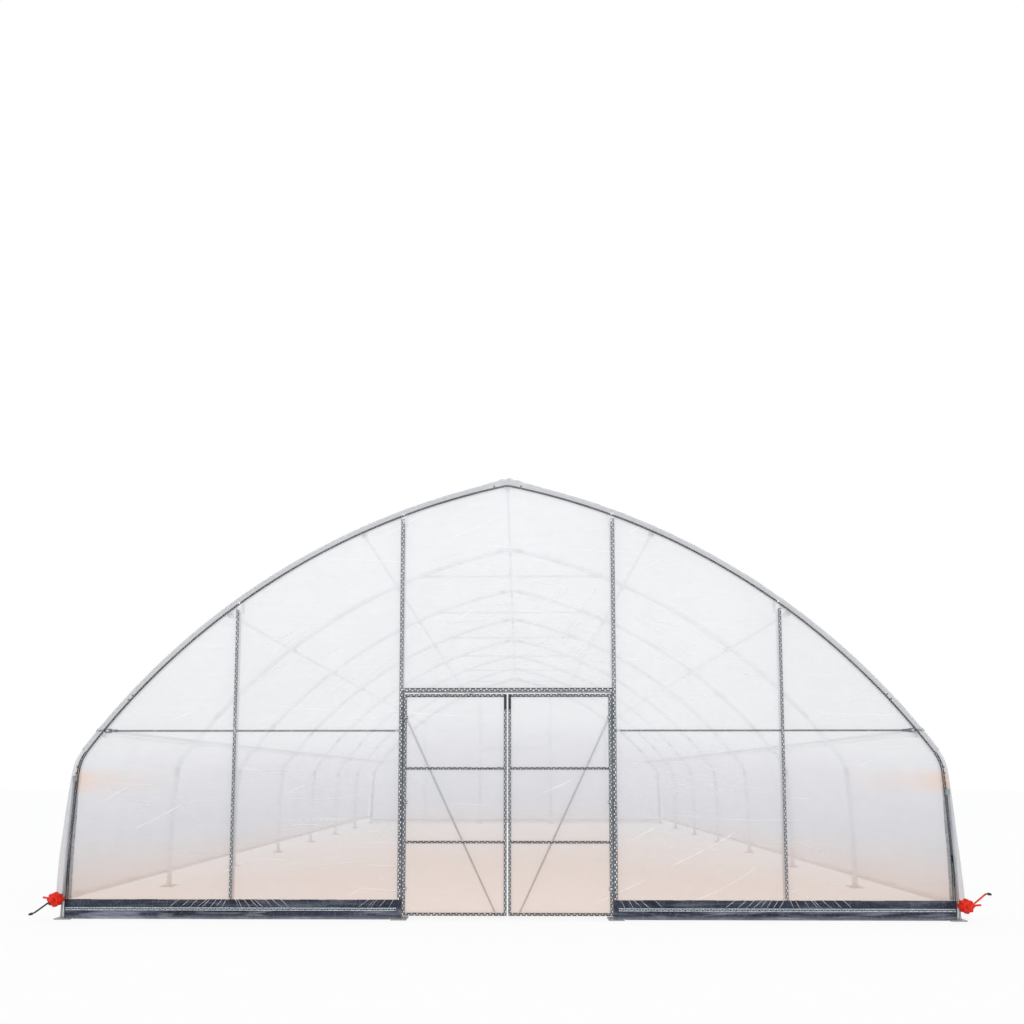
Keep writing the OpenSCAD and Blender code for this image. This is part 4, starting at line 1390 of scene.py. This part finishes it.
def post_brackets():
    """Strap brackets that hold the tops of the end posts to the hoop."""
    mesh_data = bmesh.new()
    for base_y in END_Y.values():
        for side in SIDES:
            for post_x, post_w in ((POST_X, POST_W), (MID_X, MID_W)):
                x, z = RAFTER.point(lean_at(post_x), -HOOP_R)
                for face in (-1, 1):
                    strap = Vector((side * x, base_y + face * (HOOP_R + 0.003), z))
                    add_block(mesh_data, strap - UP * 0.025, (post_w / 2 + 0.004, 0.0025, 0.060))
                    for up in (-0.055, 0.012):
                        bolt(mesh_data, strap + Vector((0, face * 0.0025, up)), (0, face, 0))
    bevel(mesh_data, 0.001)
    piece("post_brackets", mesh_data, "bright_zinc")


def tie_clamps():
    """U-clamps where the collar ties and king posts meet hoop and purlin."""
    mesh_data = bmesh.new()
    low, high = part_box("collar_ties")
    tie_z = low.z + RUNNER_R
    tie_x = RAFTER.point(math.degrees(math.asin((tie_z - RAFTER.z) / RAFTER.radius)))[0]
    for y in HOOP_YS[1:-1]:
        for side in SIDES:
            centre = Vector((side * tie_x, y + 0.02, tie_z))
            for up in (-0.020, 0.020):
                add_block(mesh_data, centre + Vector((0, -0.0045, up)), (0.02, 0.0505, 0.002))
            bolt(mesh_data, centre - FORWARD * 0.045, -FORWARD, 0.011)
        for bottom, top in ((tie_z + 0.012, tie_z + 0.05), (high.z - 0.045, high.z - 0.004)):
            add_rod(mesh_data, (0, y + 0.046, bottom), (0, y + 0.046, top), 0.0155, 16)
    bevel(mesh_data, 0.001)
    piece("tie_clamps", mesh_data, "zinc")


def girt_fittings():
    """Plates and bolts on the flattened girt ends and clips where a girt passes a post."""
    clips, plates = bmesh.new(), bmesh.new()
    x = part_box("front_girts")[1].x - 0.028
    plate_half, clip_w = 0.0015, 0.035
    for out, base_y in END_Y.items():
        for side in SIDES:
            face = base_y + out * (FILM_FRONT - 0.001)
            for outer, inner, tall in ((0.085, 0.150, 0.013), (0.015, 0.085, 0.020)):
                place = (side * (x - (outer + inner) / 2), face + out * plate_half, GIRT_Z)
                add_block(plates, place, ((inner - outer) / 2, plate_half, tall))
            bolt(clips, (side * (x - 0.045), face + out * 0.003, GIRT_Z), (0, out, 0), 0.012)
            add_block(clips, (side * MID_X, base_y + out * 0.026, GIRT_Z), (0.006, 0.012, 0.020))
            end_x = side * (POST_X + POST_W / 2 + clip_w / 2)
            add_block(clips, (end_x, base_y + out * 0.028, GIRT_Z), (clip_w / 2, 0.008, 0.014))
    for mesh_data in (clips, plates):
        bevel(mesh_data, 0.0012)
    piece("girt_end_plates", plates, "dull_steel")
    piece("girt_fittings", clips, "zinc")


# ---------------------------------------------------------------------------
# Roll-up gear
# ---------------------------------------------------------------------------

# Steps of the housing from back to front: share of its depth, and how much it narrows.
HOUSING_STEPS = (
    (0.44, 1.0), (0.0, 0.98), (0.28, 1.0), (0.0, 0.90), (0.10, 1.0), (0.0, 0.84), (0.18, 1.0),
)


def winch_housing(side):
    """Cast winch housing: lobed body, stepped cover, screws, a stop lever and a guide."""
    name, centre = SIDES[side], CRANK[side]
    low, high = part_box(f"{name}_winch")
    front_y, depth, radius, lobes = low.y, 0.056, (high.z - low.z) / 2, 8
    back = Vector((centre.x, front_y + depth, centre.z))
    mesh_data = bmesh.new()
    ring = bmesh.ops.create_circle(
        mesh_data, cap_ends=True, segments=48, radius=radius,
        matrix=Matrix.Translation(back) @ Matrix.Rotation(math.pi / 2, 4, "X"),
    )["verts"]
    for vertex in ring:
        away = vertex.co - back
        wave = math.cos(lobes * math.atan2(away.z, away.x))
        vertex.co = back + away * (0.90 + 0.085 * wave)
    face = first = mesh_data.faces[:]
    about = Matrix.Translation((-centre.x, 0, -centre.z))
    for push, shrink in HOUSING_STEPS:
        grown = bmesh.ops.extrude_face_region(mesh_data, geom=face)["geom"]
        verts = of_kind(grown, bmesh.types.BMVert)
        bmesh.ops.translate(mesh_data, vec=(0, -push * depth, 0), verts=verts)
        bmesh.ops.scale(mesh_data, vec=(shrink, 1.0, shrink), space=about, verts=verts)
        if face != first:
            inner = [f for f in face if f.is_valid]
            bmesh.ops.delete(mesh_data, geom=inner, context="FACES")
        face = of_kind(grown, bmesh.types.BMFace)
    bmesh.ops.poke(mesh_data, faces=face + [f for f in first if f.is_valid])
    outward(mesh_data)
    for k in range(lobes):
        a = (k + 0.5) * 2 * math.pi / lobes
        place = centre + Vector((math.cos(a), 0, math.sin(a))) * radius * 0.72
        bolt(mesh_data, (place.x, front_y + depth * 0.285, place.z), FORWARD, 0.007)
    nose = Vector((centre.x, front_y, centre.z))
    add_stub(mesh_data, nose, FORWARD, -0.012, 0.001, 0.024, 20)
    lever_a = math.radians(170 if side < 0 else 5)
    arm = Vector((math.cos(lever_a), 0, math.sin(lever_a)))
    pivot = nose - FORWARD * depth * 0.62
    tip = pivot + arm * LEVER_REACH[side]
    add_rod(mesh_data, pivot + arm * radius * 0.80, tip, 0.0105, 14)
    add_rod(mesh_data, tip, tip + arm * 0.004, 0.0105, 14, 0.007)
    made = piece(f"{name}_winch_housing", mesh_data, "red_paint")
    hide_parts(f"{name}_winch")
    guide = bmesh.new()
    rod = Vector((side * (HALF_W + ROD_OFF - centre.z * ROD_LEAN), high.y - 0.017, centre.z))
    tilt = Vector((-side * 0.001, 0, 0.020))
    add_rod(guide, rod - tilt, rod + tilt, 0.0165, 20)
    arm_low = (rod.x - 0.014, back.y - 0.004, rod.z - 0.018)
    add_box(guide, arm_low, (rod.x + 0.014, rod.y - 0.006, rod.z + 0.018))
    bevel(guide, 0.0015)
    piece(f"{name}_winch_guide", guide, "red_paint")


def crank_handle(side):
    """Bent crank arm with a hub, a pale sleeve and a ribbed grip."""
    name, centre = SIDES[side], CRANK[side]
    body = f"{name}_handle"
    low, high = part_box(f"{name}_crank")
    grip_r, arm_r, bend_r = 0.014, 0.0085, 0.018
    corner = low if side < 0 else high
    tip_x, tip_z = corner.x - side * grip_r, corner.z - side * grip_r
    arm = Vector((tip_x - centre.x, 0, tip_z - centre.z))
    length = arm.length
    arm.normalize()
    hub, metal, grip, sleeve = (bmesh.new() for _ in range(4))
    for first, last, radius, sides in (
        (0.0005, 0.024, 0.010, 20), (0.0055, 0.029, 0.0215, 28), (0.029, 0.035, 0.010, 6),
    ):
        add_stub(hub, centre, FORWARD, first, last, radius, sides)
    bevel_rims(hub)
    piece(f"{name}_crank_hub", hub, "red_paint", body)
    root = centre + FORWARD * 0.0173
    elbow = root + arm * (length - bend_r)
    add_rod(metal, root, elbow, arm_r, 18)
    turns = [math.pi / 2 * k / 6 for k in range(7)]
    bend = [elbow + (arm * math.sin(t) + FORWARD * (1 - math.cos(t))) * bend_r for t in turns]
    for first, second in zip(bend, bend[1:]):
        add_rod(metal, first, second, arm_r, 18)
    last = bend[-1]
    add_rod(metal, last, (tip_x, last.y - 0.030, tip_z), arm_r * 0.8, 16)
    bevel_rims(metal)
    finish, slot = ("black_paint", "black_metal") if side < 0 else ("red_paint", "winch_red")
    piece(f"{name}_crank_arm", metal, finish, body)
    grip_y, rings = last.y - 0.004, 18
    grip_l = (grip_y - low.y - 0.002) * 0.55
    profile = []
    for k in range(rings + 1):
        swell = 0.80 + 0.18 * math.sin(math.pi * min(1.0, k / rings * 1.1 + 0.1))
        profile.append((grip_y - grip_l * k / rings, grip_r * swell - 0.0012 * (k % 2)))
    for (y0, r0), (y1, r1) in zip(profile, profile[1:]):
        add_rod(grip, (tip_x, y0, tip_z), (tip_x, y1, tip_z), r0, 24, r1)
    bmesh.ops.remove_doubles(grip, verts=grip.verts, dist=1e-5)
    ends = (profile[0][0], profile[-1][0])
    inner = [
        f for f in grip.faces
        if len(f.verts) > 4 and min(abs(f.calc_center_median().y - y) for y in ends) > 1e-4
    ]
    bmesh.ops.delete(grip, geom=inner, context="FACES_ONLY")
    bmesh.ops.recalc_face_normals(grip, faces=grip.faces)
    held = piece(f"{name}_crank_grip", grip, "grip", body, smooth=True)
    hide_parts(f"{name}_crank")
    add_stub(sleeve, last, FORWARD, -0.001, 0.010, arm_r * 1.35, 20)
    piece(f"{name}_crank_sleeve", sleeve, "bright_zinc", body)


def rod_fittings():
    """Bolts and end caps of the guide rods."""
    mesh_data = bmesh.new()
    for side, name in SIDES.items():
        low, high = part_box(f"{name}_guide_rod")
        top = Vector((side * (HALF_W + ROD_OFF - (high.z - 0.03) * ROD_LEAN), 0, high.z))
        for up in (-0.048, -0.012):
            place = top + Vector((side * 0.0145, high.y - 0.012, up))
            bolt(mesh_data, place, (side * 0.2, -1, 0), 0.008)
        cap = top + Vector((-side * 0.001, low.y + 0.010, 0))
        add_rod(mesh_data, cap - UP * 0.001, cap + UP * 0.004, 0.0112, 18, 0.0075)
    bevel(mesh_data, 0.0006)
    piece("guide_rod_fittings", mesh_data, "zinc")


def roll_clips():
    """Snap clips that hold the film on the roll pipes."""
    mesh_data = bmesh.new()
    clip_r, count = PIPE_R + film_sizes().roll_layers + 0.0015, 15
    first, step = FRONT_Y + 0.25, (REAR_Y - FRONT_Y - 0.5) / (count - 1)
    for side in SIDES:
        for k in range(count):
            centre = Vector((CRANK[side].x, first + step * k, CRANK[side].z))
            add_stub(mesh_data, centre, -FORWARD, -0.03, 0.03, clip_r, 20)
    bevel(mesh_data, 0.001)
    piece("roll_clips", mesh_data, "clip")


def hinge_screws():
    """Screw heads on the hinge plates of post and leaf."""
    low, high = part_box("door_hinges")
    knuckle, plate_y = 0.030, FRONT_Y - FILM_FRONT - 0.0043
    step = (high.z - low.z - 2 * knuckle - 0.004) / 2
    for side, name in SIDES.items():
        fixed, moving = bmesh.new(), bmesh.new()
        x = HINGE[side].x
        for z in (low.z + knuckle + k * step for k in range(3)):
            for along in (side * 0.020, side * 0.037):
                bolt(fixed, (x + along, plate_y, z - 0.015), FORWARD, 0.006)
                bolt(moving, (x - along, plate_y, z + 0.016), FORWARD, 0.006)
        piece(f"{name}_hinge_screws", fixed, "bright_zinc")
        piece(f"{name}_leaf_screws", moving, "bright_zinc", f"{name}_leaf")


# ---------------------------------------------------------------------------
# Stage
# ---------------------------------------------------------------------------


def camera_only(n):
    """1 where the camera looks straight, by a reflection or through a clear part."""
    path = n.add("ShaderNodeLightPath").outputs
    seen = n.maths("MAXIMUM", path["Is Camera Ray"], path["Is Glossy Ray"])
    return n.maths("MAXIMUM", seen, path["Is Transmission Ray"])


def over_white(n, kind, white_share, output):
    """Mixes plain white of a shader kind over what is there."""
    white = n.add(kind, {"Color": (1.0, 1.0, 1.0), "Strength": 1.0}).outputs[0]
    return n.surface(n.blend(white_share, n.shader.outputs[0], white), output)


def make_floor():
    mesh_data = bmesh.new()
    bmesh.ops.create_grid(mesh_data, x_segments=8, y_segments=8, size=60.0)
    mesh = bpy.data.meshes.new("studio_floor")
    mesh_data.to_mesh(mesh)
    mesh_data.free()
    n = Nodes("studio_floor")
    base = n.grey(n.noise(n.place(), 3.0, 3.0), (0.3, 0.92), (0.7, 0.94))
    for name, value in {"Base Color": base, "Roughness": 0.9, "Specular IOR Level": 0.0}.items():
        n.set(n.shader.inputs[name], value)
    share_seen = n.times(camera_only(n), 0.80)
    mesh.materials.append(over_white(n, "ShaderNodeEmission", share_seen, "Material Output"))
    floor = bpy.data.objects.new("studio_floor", mesh)
    bpy.context.scene.collection.objects.link(floor)
    floor.location.z = CAD_BOX[0].z - 0.0005


def make_lights(stage):
    n = Nodes("studio_world", "worlds", "Background")
    n.set(n.shader.inputs["Color"], (0.97, 0.985, 1.0))
    n.set(n.shader.inputs["Strength"], stage.sky)
    world = over_white(n, "ShaderNodeBackground", camera_only(n), "World Output")
    bpy.context.scene.world = world
    for name, turn, strength, angle in (
        ("key_light", (52.0, 0.0, -32.0), stage.key, 22.0),
        ("fill_light", (60.0, 0.0, 48.0), stage.key * 0.35, 50.0),
    ):
        lamp = bpy.data.lights.new(name, "SUN")
        lamp.energy = strength
        lamp.angle = math.radians(angle)
        made = bpy.data.objects.new(name, lamp)
        made.rotation_euler = [math.radians(t) for t in turn]
        bpy.context.scene.collection.objects.link(made)


def make_camera(stage):
    data = bpy.data.cameras.new("studio_camera")
    data.lens = stage.lens
    data.sensor_width = 36.0
    data.shift_y = stage.shift
    data.clip_end = 200.0
    camera = bpy.data.objects.new("studio_camera", data)
    bpy.context.scene.collection.objects.link(camera)
    camera.location = (stage.offset, FRONT_Y - HOOP_R - stage.distance, stage.height)
    camera.rotation_euler = (math.pi / 2 + stage.pitch, 0.0, stage.turn)
    bpy.context.scene.camera = camera


# ---------------------------------------------------------------------------
# Operators and panel
# ---------------------------------------------------------------------------


class TUNNEL_OT_finishes(bpy.types.Operator):
    """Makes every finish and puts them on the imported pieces"""

    bl_idname = "tunnel.finishes"
    bl_label = "Finishes"

    def execute(self, context):
        make_finishes()
        return {"FINISHED"}


class TUNNEL_OT_roof(bpy.types.Operator):
    """Builds the roof film"""

    bl_idname = "tunnel.roof"
    bl_label = "Roof film"

    def execute(self, context):
        roof_sheet()
        for out in ENDS:
            roof_hem(out)
        return {"FINISHED"}


class TUNNEL_OT_curtains(bpy.types.Operator):
    """Builds both side curtains and the clips on their roll pipes"""

    bl_idname = "tunnel.curtains"
    bl_label = "Side curtains"

    def execute(self, context):
        for side in SIDES:
            curtain_sheet(side)
        roll_clips()
        return {"FINISHED"}


class TUNNEL_OT_gables(bpy.types.Operator):
    """Builds the film of both ends and the door leaves"""

    bl_idname = "tunnel.gables"
    bl_label = "End films"

    def execute(self, context):
        for side in SIDES:
            gable_sheet(side)
            leaf_sheet(side)
        over_door_sheet()
        rear_sheet()
        gable_folds()
        return {"FINISHED"}


class TUNNEL_OT_skirts(bpy.types.Operator):
    """Builds the skirts at the foot of both ends"""

    bl_idname = "tunnel.skirts"
    bl_label = "Skirts"

    def execute(self, context):
        inner = POST_X - POST_W / 2
        skirt_sheet("front_right_skirt", inner, HALF_W, -1, "front_skirts")
        skirt_sheet("front_left_skirt", -inner, -HALF_W, -1, None)
        skirt_sheet("rear_skirt_sheet", -HALF_W, HALF_W, 1, "rear_skirt")
        return {"FINISHED"}


class TUNNEL_OT_channels(bpy.types.Operator):
    """Builds the clamping channels and their zigzag wires"""

    bl_idname = "tunnel.channels"
    bl_label = "Clamping channels"

    def execute(self, context):
        for out in ENDS:
            end_channels(out)
            hoop_strip(out)
            hoop_wire(out)
        curb_channels()
        for side in SIDES:
            leaf_channels(side)
        return {"FINISHED"}


class TUNNEL_OT_fittings(bpy.types.Operator):
    """Builds clamps, sleeves, brackets and bolts of the frame"""

    bl_idname = "tunnel.fittings"
    bl_label = "Frame fittings"

    def execute(self, context):
        purlin_clamps()
        hoop_splices()
        foot_fittings()
        post_brackets()
        tie_clamps()
        girt_fittings()
        hinge_screws()
        return {"FINISHED"}


class TUNNEL_OT_roll_gear(bpy.types.Operator):
    """Builds the winches, cranks and guide rod fittings"""

    bl_idname = "tunnel.roll_gear"
    bl_label = "Roll-up gear"

    def execute(self, context):
        for side in SIDES:
            winch_housing(side)
            crank_handle(side)
        rod_fittings()
        return {"FINISHED"}


class TUNNEL_OT_stage(bpy.types.Operator):
    """Makes the floor, the light and the camera"""

    bl_idname = "tunnel.stage"
    bl_label = "Stage"

    def execute(self, context):
        stage = context.scene.tunnel_stage
        make_floor()
        make_lights(stage)
        make_camera(stage)
        context.scene.view_settings.view_transform = "Standard"
        return {"FINISHED"}


STEPS = (
    TUNNEL_OT_finishes, TUNNEL_OT_stage, TUNNEL_OT_roof, TUNNEL_OT_curtains, TUNNEL_OT_gables,
    TUNNEL_OT_skirts, TUNNEL_OT_channels, TUNNEL_OT_fittings, TUNNEL_OT_roll_gear,
)
GROUPS = (
    ("tunnel_film", TunnelFilm), ("tunnel_metal", TunnelMetal), ("tunnel_stage", TunnelStage),
)


class TUNNEL_PT_steps(bpy.types.Panel):
    """Lists the build steps and their sizes"""

    bl_idname = "TUNNEL_PT_steps"
    bl_label = "Polytunnel Greenhouse"
    bl_space_type = "VIEW_3D"
    bl_region_type = "UI"
    bl_category = "Polytunnel"

    def draw(self, context):
        for step in STEPS:
            self.layout.operator(step.bl_idname)
        for name, _ in GROUPS:
            box = self.layout.box()
            settings = getattr(context.scene, name)
            for key in settings.__annotations__:
                box.prop(settings, key)


def register():
    for name, group in GROUPS:
        bpy.utils.register_class(group)
        setattr(bpy.types.Scene, name, bpy.props.PointerProperty(type=group))
    for step in (*STEPS, TUNNEL_PT_steps):
        bpy.utils.register_class(step)


def unregister():
    for step in reversed((*STEPS, TUNNEL_PT_steps)):
        bpy.utils.unregister_class(step)
    for name, group in reversed(GROUPS):
        delattr(bpy.types.Scene, name)
        bpy.utils.unregister_class(group)


def main():
    register()
    bpy.ops.tunnel.finishes()
    bpy.ops.tunnel.stage()
    bpy.ops.tunnel.roof()
    bpy.ops.tunnel.curtains()
    bpy.ops.tunnel.gables()
    bpy.ops.tunnel.skirts()
    bpy.ops.tunnel.channels()
    bpy.ops.tunnel.fittings()
    bpy.ops.tunnel.roll_gear()


if __name__ == "__main__":
    main()
